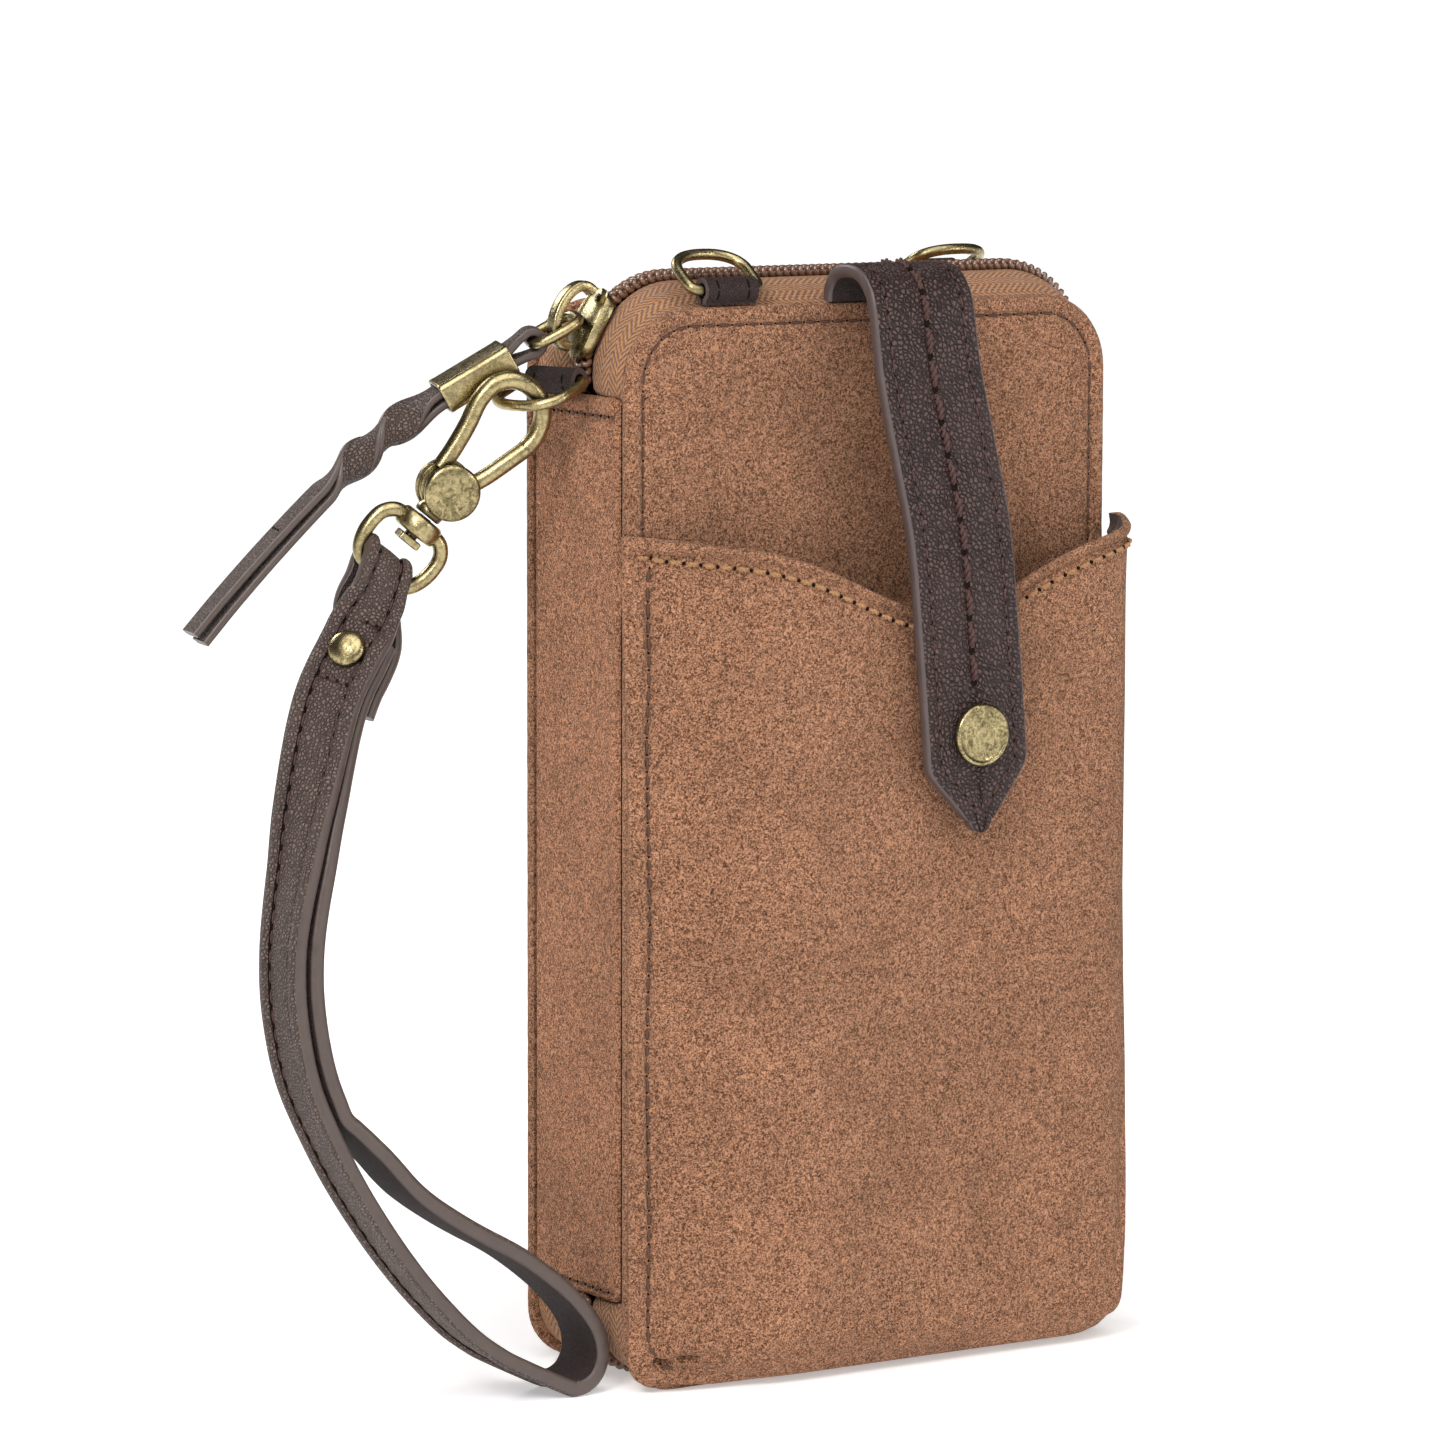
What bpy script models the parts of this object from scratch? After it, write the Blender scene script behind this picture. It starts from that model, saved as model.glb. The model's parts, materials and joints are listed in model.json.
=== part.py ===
"""Zip-around phone wallet with a wristlet strap: every piece as its own closed solid.

Units: the dimensions below are millimetres, and MM turns them into Blender's metres.
Frame: +Z up, the wallet stands on Z = 0, the phone pocket faces -Y, the spine faces -X.
The origin is the middle of the wallet's base, on the flat underside of the back zip coil.
"""
import math

import bmesh
import bpy
from mathutils import Matrix, Vector

MM = 0.001
GAP = 0.3                    # running gap kept between touching pieces

# Wallet body
LEFT = -48.0                 # outer face of the spine
PANEL_WIDTH = 91.6
PANEL_HEIGHT = 173.0
DEPTH = 32.0                 # front panel face to back panel face
PANEL_THICKNESS = 2.2
PANEL_TOP_RADIUS = 12.0
PANEL_FOOT_RADIUS = 9.0
LINING_THICKNESS = 0.6
LINING_INSET = 4.0
RIGHT = LEFT + PANEL_WIDTH
FRONT = -0.5 * DEPTH
BACK = 0.5 * DEPTH
FRONT_SEAM = FRONT + PANEL_THICKNESS
BACK_SEAM = BACK - PANEL_THICKNESS

# Spine
SPINE_FOOT = 14.0
SPINE_TOP = 159.0
SPINE_THICKNESS = 1.2

# Zip
ZIP_LEFT = LEFT + 1.0
ZIP_RIGHT = RIGHT + 4.2
ZIP_FOOT = 1.0
ZIP_TOP = 177.0
ZIP_TOP_RADIUS = 15.0
ZIP_FOOT_RADIUS = 11.0
ZIP_ENDS = (160.4, 13.2)     # heights where the zip goes under the spine
COIL_HEIGHT = 2.0
COIL_WIDTH = 1.35
COIL_SPLIT = -0.9            # depth of the line where the two coils meet
TAPE_THICKNESS = 0.8
TAPE_EDGE_INSET = 1.4

# Phone pocket
POCKET_BULGE = 11.0
POCKET_THICKNESS = 1.3
POCKET_FOOT = 0.9
POCKET_TOP = 137.5
POCKET_DIP = 12.5
POCKET_DIP_X = 5.0
POCKET_DIP_SPREAD = 23.5
POCKET_LEFT_RAMP = 32.0
POCKET_RIGHT_RAMP = 14.5
POCKET_OVERHANG = 1.9
POCKET_CORNER = 10.0
POCKET_MID_X = 0.5 * (LEFT + RIGHT + POCKET_OVERHANG)
POCKET_REACH = 0.5 * (RIGHT + POCKET_OVERHANG - LEFT)

# Closure strap
STRAP_HALF_WIDTH = 9.6
STRAP_THICKNESS = 2.2
STRAP_TIP_LENGTH = 10.5
STRAP_HINGE = (-1.2, -20.5, 179.45)
SNAP_X = 7.6
SNAP_Z = 104.5
SNAP_RADIUS = 5.0

# Rings and their leather tabs
RING_WIRE = 0.9
RING_HALF_WIDTH = 6.4
RING_DEPTH = 9.2
SPINE_RING_DEPTH = 10.4
TAB_OUTER = 2.1
TAB_INNER = 1.25
TOP_TAB_LENGTH = 9.4
SPINE_TAB_LENGTH = 9.6
FRONT_TAB = (-29.0, -14.7, 175.5)
BACK_TAB = (29.3, 14.7, 175.5)
SPINE_TAB = (-51.3, 0.5, 161.2)

# Zip slider and pull
SLIDER_ANGLE = 151.0         # place of the slider on the zip's top left corner
SLIDER_SPAN = 40.0
SLIDER_WIDTH = 8.0
SLIDER_THICKNESS = 1.2
CROWN_RISE = 4.6
CROWN_SPAN = 30.0
CROWN_WIRE = 1.0
LINK_WIRE = 0.85
LINK_HALF_WIDTH = 3.3
FERRULE_WALL = 0.5
FERRULE_SIZE = (7.9, 4.9)
FERRULE_CORNER = 1.2
FERRULE_START = 4.2
FERRULE_LENGTH = 12.6
THONG_WIDTH = 6.2
THONG_THICKNESS = 1.3
THONG_FOLD_HALF_WIDTH = 1.7
THONG_FOLD_RADIUS = 1.85
THONG_ACROSS = Vector((0.25, 1.0, 0.05))
THONG_ROUTE = ((-55.3, 1.5, 167.2), (-61.8, 3.8, 163.2), (-69.6, 6.55, 158.4),
               (-77.6, 9.3, 152.7), (-85.6, 11.4, 145.4), (-94.5, 13.4, 136.4),
               (-102.0, 14.8, 128.4), (-107.6, 15.8, 122.0))
LINK_END = Vector(THONG_ROUTE[0])

# Snap hook: its own axes are across, along (up) and normal (towards the viewer)
HOOK_ALONG = Vector((0.5843, -0.2523, 0.7708)).normalized()
HOOK_NORMAL = Vector((-0.288, -0.953, -0.0937)).normalized()
HOOK_HANG = 17.0
HOOK_WIRE = 1.45
HOOK_ROUTE = ((-3.2, 2.0), (-3.5, 5.5), (-4.2, 9.8), (-5.2, 14.0), (-4.9, 17.4), (-3.0, 19.8),
              (0.0, 20.6), (3.0, 19.8), (4.9, 17.6), (5.7, 15.0), (5.7, 12.7))
GATE_WIRE = 1.3
GATE_ROUTE = ((1.5, 1.2), (3.4, 5.0), (5.5, 12.0))
BOSS_RADIUS = 3.9
BOSS_HALF = 2.4
DISC_RADIUS = 4.5
PIN_RADIUS = 0.9
EYE_RADIUS = 1.9
LOOP_WIRE = 1.2
LOOP_ROUTE = ((2.6, -7.1), (4.6, -7.5), (6.0, -9.0), (6.4, -11.0), (6.2, -13.4), (5.2, -15.6),
              (3.4, -16.7), (0.0, -16.9))
LOOP_FOOT = 16.9
LOOP_MIDDLE = -10.7          # where the strap rocks in the loop
COLLAR_TOP = -5.6
COLLAR_FOOT = -8.9
COLLAR_RADIUS = 3.7

# Wrist strap
WRIST_HALF_WIDTH = 5.5
WRIST_FOLD_HALF_WIDTH = 3.4
WRIST_THICKNESS = 2.4
WRIST_LAYER = 3.2           # centre to centre of two layers that lie together
WRIST_OUTER = ((-82.4, 2.6, 128.4), (-86.0, 2.2, 122.9), (-92.3, 1.1, 112.8), (-96.7, -0.1, 99.0),
               (-99.9, -1.2, 86.0), (-102.0, -2.0, 75.0), (-102.3, -3.0, 64.5),
               (-100.5, -4.0, 53.8), (-96.6, -5.0, 44.0), (-90.9, -6.0, 33.4),
               (-82.9, -6.7, 21.9), (-73.0, -6.9, 11.4), (-62.8, -6.9, 4.7))
WRIST_BIGHT = ((-56.6, -6.9, 1.9), (-52.6, -6.9, 2.2), (-50.6, -6.9, 5.0), (-50.6, -6.9, 8.6),
               (-52.4, -6.9, 12.4), (-57.0, -6.9, 17.6), (-64.6, -6.7, 23.6),
               (-74.0, -6.4, 29.2), (-82.4, -6.0, 35.2), (-88.8, -5.4, 42.2))
WRIST_FAR_WIDTH = Vector((0.05, -1.0, 0.0))
WRIST_TWISTS = ((72.0, 112.0, 0.45), (121.0, 131.0, 0.55))   # from, to, share of the twist
RIVET_STATION = 4            # the point of the outer layer's smoothed line that takes the rivet

# Card side of the wallet
CARD_POCKET_TOPS = (118.0, 96.0, 74.0)
CARD_POCKET_STEP = 1.1
CARD_POCKET_THICKNESS = 0.8
SLIP_POCKET_TOP = 112.0

SUEDE = ("suede", (0.36, 0.17, 0.095), 0.95, 0.0)
LINING = ("lining", (0.12, 0.075, 0.05), 0.85, 0.0)
TAPE = ("zip_tape", (0.42, 0.19, 0.085), 0.8, 0.0)
COIL = ("zip_coil", (0.17, 0.075, 0.04), 0.35, 0.0)
DARK_LEATHER = ("dark_leather", (0.055, 0.035, 0.032), 0.5, 0.0)
GREY_LEATHER = ("grey_leather", (0.10, 0.068, 0.055), 0.55, 0.0)
BRASS = ("antique_brass", (0.34, 0.27, 0.13), 0.35, 1.0)


def clear_scene():
    """Remove every object that the session started with."""
    for thing in list(bpy.data.objects):
        bpy.data.objects.remove(thing, do_unlink=True)


def material(spec):
    """One Principled material for each named finish."""
    name, colour, roughness, metallic = spec
    found = bpy.data.materials.get(name)
    if found:
        return found
    made = bpy.data.materials.new(name)
    made.use_nodes = True
    shader = made.node_tree.nodes["Principled BSDF"]
    shader.inputs["Base Color"].default_value = (*colour, 1.0)
    shader.inputs["Roughness"].default_value = roughness
    shader.inputs["Metallic"].default_value = metallic
    return made


def pivot(name, place):
    """An empty on a joint's axis, which the pieces of that body hang from."""
    empty = bpy.data.objects.new(name, None)
    empty.location = Vector(place) * MM
    empty.empty_display_size = 0.004
    bpy.context.scene.collection.objects.link(empty)
    return empty


def add_piece(name, verts, faces, finish, parent=None):
    """A closed mesh from points in millimetres, placed under its joint's empty."""
    origin = parent.location / MM if parent else Vector((0.0, 0.0, 0.0))
    mesh = bpy.data.meshes.new(name)
    mesh.from_pydata([(Vector(v) - origin) * MM for v in verts], [], faces)
    work = bmesh.new()
    work.from_mesh(mesh)
    bmesh.ops.recalc_face_normals(work, faces=work.faces)
    work.to_mesh(mesh)
    work.free()
    mesh.shade_smooth()
    mesh.set_sharp_from_angle(angle=math.radians(35))
    thing = bpy.data.objects.new(name, mesh)
    bpy.context.scene.collection.objects.link(thing)
    if finish:
        mesh.materials.append(material(finish))
    if parent:
        thing.parent = parent
    return thing


def loft(name, rings, finish, parent=None, closed=False):
    """Skin a row of rings of equal point counts, with flat caps unless the row closes on itself."""
    count = len(rings[0])
    verts = [point for ring in rings for point in ring]
    faces = []
    spans = len(rings) if closed else len(rings) - 1
    for i in range(spans):
        here = i * count
        there = ((i + 1) % len(rings)) * count
        for j in range(count):
            k = (j + 1) % count
            faces.append((here + j, here + k, there + k, there + j))
    if not closed:
        faces.append(tuple(range(count - 1, -1, -1)))
        faces.append(tuple(range(len(verts) - count, len(verts))))
    return add_piece(name, verts, faces, finish, parent)


def smooth(points, steps, closed=False):
    """A Catmull-Rom curve through the points, with so many steps between two of them."""
    points = [Vector(p) for p in points]
    if closed:
        padded = [points[-1]] + points + points[:2]
    else:
        padded = [2 * points[0] - points[1]] + points + [2 * points[-1] - points[-2]]
    curve = []
    for i in range(1, len(padded) - 2):
        p0, p1, p2, p3 = padded[i - 1:i + 3]
        for k in range(steps):
            t = k / steps
            curve.append(0.5 * (2 * p1 + (p2 - p0) * t + (2 * p0 - 5 * p1 + 4 * p2 - p3) * t * t
                                + (3 * p1 - p0 - 3 * p2 + p3) * t ** 3))
    if not closed:
        curve.append(points[-1])
    return curve


def tangents(path, closed=False):
    """Unit direction at each point of a path."""
    count = len(path)
    result = []
    for i in range(count):
        before = path[(i - 1) % count] if closed or i > 0 else path[0]
        after = path[(i + 1) % count] if closed or i < count - 1 else path[-1]
        result.append((after - before).normalized())
    return result


def crosswise(direction, run):
    """The unit direction nearest to the given one that is square to a run."""
    return (direction - run * direction.dot(run)).normalized()


def tube(name, path, radius, finish, parent=None, closed=False, sides=8, side=None):
    """A round wire along a path; side is a direction that the path never runs along."""
    rings = []
    side = Vector(side) if side else Vector((0.0, 1.0, 0.0))
    for point, along in zip(path, tangents(path, closed)):
        across = crosswise(side, along)
        up = along.cross(across)
        ring = []
        for k in range(sides):
            angle = 2 * math.pi * (k + 0.5) / sides
            ring.append(point + across * radius * math.cos(angle) + up * radius * math.sin(angle))
        rings.append(ring)
    return loft(name, rings, finish, parent, closed)


def ribbon(name, path, wide, half_widths, thickness, finish, parent=None):
    """A flat strap along a path; wide lists its width direction at each point."""
    rings = []
    half = 0.5 * thickness
    chamfer = 0.3 * thickness
    for point, along, across, reach in zip(path, tangents(path), wide, half_widths):
        across = crosswise(across, along)
        normal = along.cross(across)
        edge = min(chamfer, 0.4 * reach)
        corners = ((reach - edge, half), (reach, half - chamfer), (reach, chamfer - half),
                   (reach - edge, -half), (edge - reach, -half), (-reach, chamfer - half),
                   (-reach, half - chamfer), (edge - reach, half))
        rings.append([point + across * u + normal * v for u, v in corners])
    return loft(name, rings, finish, parent)


def spokes_round(axis, sides):
    """Unit directions at even steps round an axis."""
    across = axis.orthogonal().normalized()
    other = axis.cross(across)
    turns = [2 * math.pi * k / sides for k in range(sides)]
    return [across * math.cos(turn) + other * math.sin(turn) for turn in turns]


def lathe(name, profile, centre, axis, finish, parent=None, sides=20):
    """Turn (radius, height) pairs about an axis; the profile starts and ends on closed rings."""
    axis = Vector(axis).normalized()
    spokes = spokes_round(axis, sides)
    centre = Vector(centre)
    rings = [[centre + axis * height + out * radius for out in spokes]
             for radius, height in profile]
    return loft(name, rings, finish, parent)


def turned_ring(name, profile, centre, axis, finish, parent=None, sides=20):
    """Turn a closed profile that stays off the axis, which leaves a bore through the middle."""
    axis = Vector(axis).normalized()
    centre = Vector(centre)
    rings = [[centre + axis * height + out * radius for radius, height in profile]
             for out in spokes_round(axis, sides)]
    return loft(name, rings, finish, parent, closed=True)


def cutter(thing):
    """Mark a helper that only shapes other pieces."""
    thing.hide_render = True
    thing.display_type = 'WIRE'
    return thing


def combine(thing, helper, operation):
    """Cut or join a helper into a piece."""
    cutter(helper)
    step = thing.modifiers.new(helper.name, 'BOOLEAN')
    step.operation = operation
    step.solver = 'EXACT'
    step.object = helper


def rounded_outline(x0, x1, z0, z1, foot_radius, top_radius, steps=6):
    """A closed outline in XZ with round corners, clockwise from the left side's foot."""
    corners = ((x0 + top_radius, z1 - top_radius, top_radius, 180.0),
               (x1 - top_radius, z1 - top_radius, top_radius, 90.0),
               (x1 - foot_radius, z0 + foot_radius, foot_radius, 0.0),
               (x0 + foot_radius, z0 + foot_radius, foot_radius, -90.0))
    outline = []
    for cx, cz, radius, start in corners:
        for k in range(steps + 1):
            angle = math.radians(start - 90.0 * k / steps)
            outline.append((cx + radius * math.cos(angle), cz + radius * math.sin(angle)))
    return outline


def sheet(name, outline, y0, y1, finish, parent=None):
    """A flat panel: an XZ outline between two depths."""
    rings = [[(x, y, z) for x, z in outline] for y in (y0, y1)]
    return loft(name, rings, finish, parent)


def zip_outline(left, right, foot, top, foot_radius, top_radius):
    """The open line of a zip edge: up the left end, over the top, round and back to the left."""
    corners = ((left + top_radius, top - top_radius, top_radius, 180.0),
               (right - top_radius, top - top_radius, top_radius, 90.0),
               (right - foot_radius, foot + foot_radius, foot_radius, 0.0),
               (left + foot_radius, foot + foot_radius, foot_radius, -90.0))
    line = [(left, ZIP_ENDS[0])]
    for cx, cz, radius, start in corners:
        for k in range(8):
            angle = math.radians(start - 90.0 * k / 7)
            line.append((cx + radius * math.cos(angle), cz + radius * math.sin(angle)))
    line.append((left, ZIP_ENDS[1]))
    return line


def outward(line):
    """Unit normals of an XZ line, away from the wallet's middle."""
    normals = []
    for i in range(len(line)):
        x0, z0 = line[max(i - 1, 0)]
        x1, z1 = line[min(i + 1, len(line) - 1)]
        length = math.hypot(x1 - x0, z1 - z0)
        normals.append((-(z1 - z0) / length, (x1 - x0) / length))
    return normals


def chain_line():
    """Middle line of the zip coils."""
    return zip_outline(ZIP_LEFT, ZIP_RIGHT, ZIP_FOOT, ZIP_TOP, ZIP_FOOT_RADIUS, ZIP_TOP_RADIUS)


def build_coil(name, y0, y1, parent=None):
    """One row of zip coils as a square bar."""
    line = chain_line()
    rings = []
    for (x, z), (nx, nz) in zip(line, outward(line)):
        half = 0.5 * COIL_HEIGHT
        rings.append([(x + nx * s, y, z + nz * s)
                      for s, y in ((half, y0), (half, y1), (-half, y1), (-half, y0))])
    return loft(name, rings, COIL, parent)


def build_tape(name, seam, coil_side, parent=None):
    """Woven tape that slopes from a panel's edge up to the coils."""
    edge = zip_outline(LEFT + TAPE_EDGE_INSET, RIGHT - TAPE_EDGE_INSET, TAPE_EDGE_INSET,
                       PANEL_HEIGHT - TAPE_EDGE_INSET, PANEL_FOOT_RADIUS,
                       PANEL_TOP_RADIUS - TAPE_EDGE_INSET)
    crest = chain_line()
    middle = [(0.42 * ex + 0.58 * cx, 0.42 * ez + 0.58 * cz)
              for (ex, ez), (cx, cz) in zip(edge, crest)]
    half = 0.5 * TAPE_THICKNESS
    columns = ((edge, seam), (middle, 0.5 * (seam + coil_side)), (crest, coil_side))
    rings = []
    for i in range(len(crest)):
        outer = []
        inner = []
        for line, y in columns:
            nx, nz = outward(line)[i]
            x, z = line[i]
            outer.append((x + nx * half, y, z + nz * half))
            inner.append((x - nx * half, y, z - nz * half))
        rings.append(outer + inner[::-1])
    return loft(name, rings, TAPE, parent)


def pocket_row(u, inner):
    """Place across the pocket and its share of the bulge, from the left seam to the right one."""
    if u < 0.5:
        x = POCKET_LEFT_RAMP * (u / 0.5)
        share = 1.0 - (1.0 - x / POCKET_LEFT_RAMP) ** 2
        x += LEFT
    elif u < 0.75:
        start = LEFT + POCKET_LEFT_RAMP
        end = RIGHT + POCKET_OVERHANG - POCKET_RIGHT_RAMP
        x = start + (end - start) * (u - 0.5) / 0.25
        share = 1.0
    else:
        angle = 0.5 * math.pi * (u - 0.75) / 0.25
        x = RIGHT + POCKET_OVERHANG - POCKET_RIGHT_RAMP * (1.0 - math.sin(angle) ** (2 / 3))
        share = max(math.cos(angle), 0.0) ** (2 / 3)
    if inner:
        x += POCKET_THICKNESS * (1.0 - 2.0 * u)
    return x, share


def pocket_edge(x):
    """Height of the pocket's dipped top edge."""
    return POCKET_TOP - POCKET_DIP * math.exp(-((x - POCKET_DIP_X) / POCKET_DIP_SPREAD) ** 2)


def pocket_point(u, v, inner):
    """A point of the pocket's outer or inner face."""
    x, share = pocket_row(u, inner)
    foot = POCKET_FOOT + (POCKET_THICKNESS if inner else 0.0)
    z = foot + (pocket_edge(x) - foot) * v ** 2
    low = max(0.0, POCKET_CORNER - (z - foot))
    tuck = POCKET_CORNER - math.sqrt(max(POCKET_CORNER ** 2 - low ** 2, 0.0))
    x -= tuck * ((x - POCKET_MID_X) / POCKET_REACH) ** 3
    rise = 1.0 - max(0.0, 1.0 - (z - foot) / 9.0) ** 3
    depth = (POCKET_BULGE - (POCKET_THICKNESS if inner else 0.0)) * share * rise
    return (x, FRONT - GAP - depth, z)


def build_phone_pocket(parent):
    """The bulged pocket on the front, open along its dipped top edge."""
    across = 22
    up = 14
    verts = []
    index = {}
    for inner in (False, True):
        for j in range(up + 1):
            for i in range(across + 1):
                index[inner, i, j] = len(verts)
                verts.append(pocket_point(i / across, j / up, inner))
    faces = []
    for inner in (False, True):
        for j in range(up):
            for i in range(across):
                quad = (index[inner, i, j], index[inner, i + 1, j],
                        index[inner, i + 1, j + 1], index[inner, i, j + 1])
                faces.append(quad[::-1] if inner else quad)
    rim = [(i, 0) for i in range(across + 1)] + [(across, j) for j in range(1, up + 1)]
    rim += [(i, up) for i in range(across - 1, -1, -1)] + [(0, j) for j in range(up - 1, 0, -1)]
    for (i, j), (k, m) in zip(rim, rim[1:] + rim[:1]):
        faces.append((index[True, i, j], index[True, k, m], index[False, k, m], index[False, i, j]))
    pocket = add_piece("phone_pocket", verts, faces, SUEDE, parent)
    hole = lathe("stud_hole", ((1.3, -4.0), (1.3, 4.0)),
                 (SNAP_X, FRONT - POCKET_BULGE, SNAP_Z), (0, 1, 0), None, sides=12)
    combine(pocket, hole, 'DIFFERENCE')
    return pocket


def closure_route():
    """Centre line of the closure strap's flap, from the hinge over the front to its tip."""
    hx, hy, hz = STRAP_HINGE
    top = hz - 0.5 * STRAP_THICKNESS - 0.05
    snap_y = FRONT - POCKET_BULGE - 3.9
    return smooth(((hx, hy - 0.3, top), (hx - 0.1, hy - 3.6, top - 0.5),
                   (hx - 0.2, hy - 6.4, top - 2.6), (hx - 0.1, hy - 7.9, top - 6.0),
                   (-0.5, snap_y + 1.4, 162.0), (2.0, snap_y + 0.6, 149.0), (4.5, snap_y, 136.0),
                   (6.3, snap_y, 119.0), (SNAP_X, snap_y, SNAP_Z), (8.2, snap_y, 96.0),
                   (8.6, snap_y, 88.5)), 4)


def build_closure_strap(front, flap):
    """The leather strap that comes over the top, in its sewn root and its moving flap."""
    hx, hy, hz = STRAP_HINGE
    top = hz - 0.5 * STRAP_THICKNESS - 0.05
    root = smooth(((hx + 0.2, -14.8, PANEL_HEIGHT + GAP), (hx + 0.2, -15.2, 175.4),
                   (hx + 0.1, -17.2, 177.6), (hx, hy + 0.3, top)), 4)
    across = Vector((1.0, 0.0, 0.0))
    ribbon("strap_root", root, [across] * len(root), [STRAP_HALF_WIDTH] * len(root),
           STRAP_THICKNESS, DARK_LEATHER, front)
    route = closure_route()
    tip = route[-1].z
    widths = []
    for point in route:
        left = max((point.z - tip) / STRAP_TIP_LENGTH, 0.0)
        widths.append(STRAP_HALF_WIDTH if left >= 1.0 else 0.9 + (STRAP_HALF_WIDTH - 0.9) * left)
    strap = ribbon("closure_strap", route, [across] * len(route), widths, STRAP_THICKNESS,
                   DARK_LEATHER, flap)
    hole = lathe("cap_hole", ((1.3, -3.0), (1.3, 3.0)),
                 (SNAP_X, FRONT - POCKET_BULGE - 3.9, SNAP_Z), (0, 1, 0), None, sides=12)
    combine(strap, hole, 'DIFFERENCE')


def build_snap(front, flap):
    """Press stud: knob and rivet on the pocket, socket and cap on the strap."""
    face = FRONT - GAP - POCKET_BULGE
    out = (0, -1, 0)
    place = (SNAP_X, face, SNAP_Z)
    lathe("snap_stud", ((4.2, GAP), (4.2, 0.7), (1.5, 0.75), (1.5, 1.3), (1.75, 1.6), (1.4, 2.0)),
          place, out, BRASS, front)
    lathe("stud_rivet", ((3.4, -2.3), (3.4, -1.7), (0.9, -1.65), (0.9, 0.0)), place, out, BRASS,
          front, sides=16)
    turned_ring("snap_socket", ((4.4, 1.0), (4.4, 1.9), (3.6, 2.2), (2.2, 2.2), (2.2, 1.0)),
                place, out, BRASS, flap)
    lathe("snap_cap", ((0.9, 2.5), (0.9, 4.95), (SNAP_RADIUS - 0.4, 5.0), (SNAP_RADIUS, 5.4),
                       (SNAP_RADIUS, 5.9), (SNAP_RADIUS - 0.5, 6.4), (1.5, 6.6)),
          place, out, BRASS, flap, sides=24)


def d_ring_path(centre, along, out, depth):
    """Middle line of a D ring whose flat side lies in a tab and whose bow points out."""
    along = Vector(along).normalized()
    out = Vector(out).normalized()
    centre = Vector(centre)
    path = []
    steps = 28
    middle = 0.5 * depth
    for k in range(steps):
        angle = 2 * math.pi * (k + 0.5) / steps
        c = math.cos(angle)
        s = math.sin(angle)
        power = 0.85 if s > 0 else 0.3
        u = RING_HALF_WIDTH * math.copysign(abs(c) ** power, c)
        v = middle * (1.0 + math.copysign(abs(s) ** power, s))
        path.append(centre + along * u + out * v)
    return path


def build_ring(name, centre, along, out, depth, parent):
    """A brass D ring."""
    path = d_ring_path(centre, along, out, depth)
    normal = Vector(along).cross(Vector(out))
    return tube(name, path, RING_WIRE, BRASS, parent, closed=True, side=normal)


def build_tab(name, centre, axis, down, leg, length, parent=None):
    """A leather strip folded round the flat side of a ring, its legs towards the seam."""
    axis = Vector(axis).normalized()
    down = crosswise(Vector(down), axis)
    side = axis.cross(down)
    centre = Vector(centre)
    middle = 0.5 * (TAB_OUTER + TAB_INNER)
    half = 0.5 * (TAB_OUTER - TAB_INNER)
    line = [(-half - 0.2, leg)]
    steps = 9
    for k in range(steps + 1):
        angle = math.radians(40.0 + 280.0 * k / steps)
        line.append((-middle * math.sin(angle), middle * math.cos(angle)))
    line.append((half + 0.2, leg))
    outer = []
    inner = []
    for i, (u, v) in enumerate(line):
        u0, v0 = line[max(i - 1, 0)]
        u1, v1 = line[min(i + 1, len(line) - 1)]
        length_here = math.hypot(u1 - u0, v1 - v0)
        nu, nv = (v1 - v0) / length_here, -(u1 - u0) / length_here
        outer.append((u - nu * half, v - nv * half))
        inner.append((u + nu * half, v + nv * half))
    profile = outer + inner[::-1]
    rings = []
    for s in (-0.5 * length, 0.5 * length):
        rings.append([centre + axis * s + side * u + down * v for u, v in profile])
    return loft(name, rings, DARK_LEATHER, parent)


def corner_point(radius, angle, y=0.0):
    """A point round the zip's top left corner."""
    turn = math.radians(angle)
    return Vector((ZIP_LEFT + ZIP_TOP_RADIUS + radius * math.cos(turn), y,
                   ZIP_TOP - ZIP_TOP_RADIUS + radius * math.sin(turn)))


def build_slider(parent):
    """The slider's top plate, bent to the corner, and the crown that holds the pull."""
    low = ZIP_TOP_RADIUS + 0.5 * COIL_HEIGHT + GAP
    high = low + SLIDER_THICKNESS
    rings = []
    steps = 8
    for k in range(steps + 1):
        share = k / steps
        angle = SLIDER_ANGLE + SLIDER_SPAN * (share - 0.5)
        half = 0.5 * SLIDER_WIDTH * (1.0 - 0.45 * abs(2.0 * share - 0.9) ** 3)
        rings.append([corner_point(low, angle, COIL_SPLIT - half),
                      corner_point(low, angle, COIL_SPLIT + half),
                      corner_point(high, angle, COIL_SPLIT + 0.85 * half),
                      corner_point(high, angle, COIL_SPLIT - 0.85 * half)])
    loft("slider_body", rings, BRASS, parent)
    path = []
    for k in range(13):
        turn = math.pi * k / 12
        angle = SLIDER_ANGLE - 0.5 * CROWN_SPAN * math.cos(turn)
        radius = high + GAP + CROWN_WIRE + (CROWN_RISE - CROWN_WIRE) * math.sin(turn) ** 0.7
        path.append(corner_point(radius, angle, COIL_SPLIT))
    tube("slider_crown", path, CROWN_WIRE, BRASS, parent, side=(0, 1, 0))


def link_start():
    """Middle of the link's wire under the crown."""
    radius = ZIP_TOP_RADIUS + 0.5 * COIL_HEIGHT + 2 * GAP + SLIDER_THICKNESS + LINK_WIRE
    return corner_point(radius, SLIDER_ANGLE, COIL_SPLIT)


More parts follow.
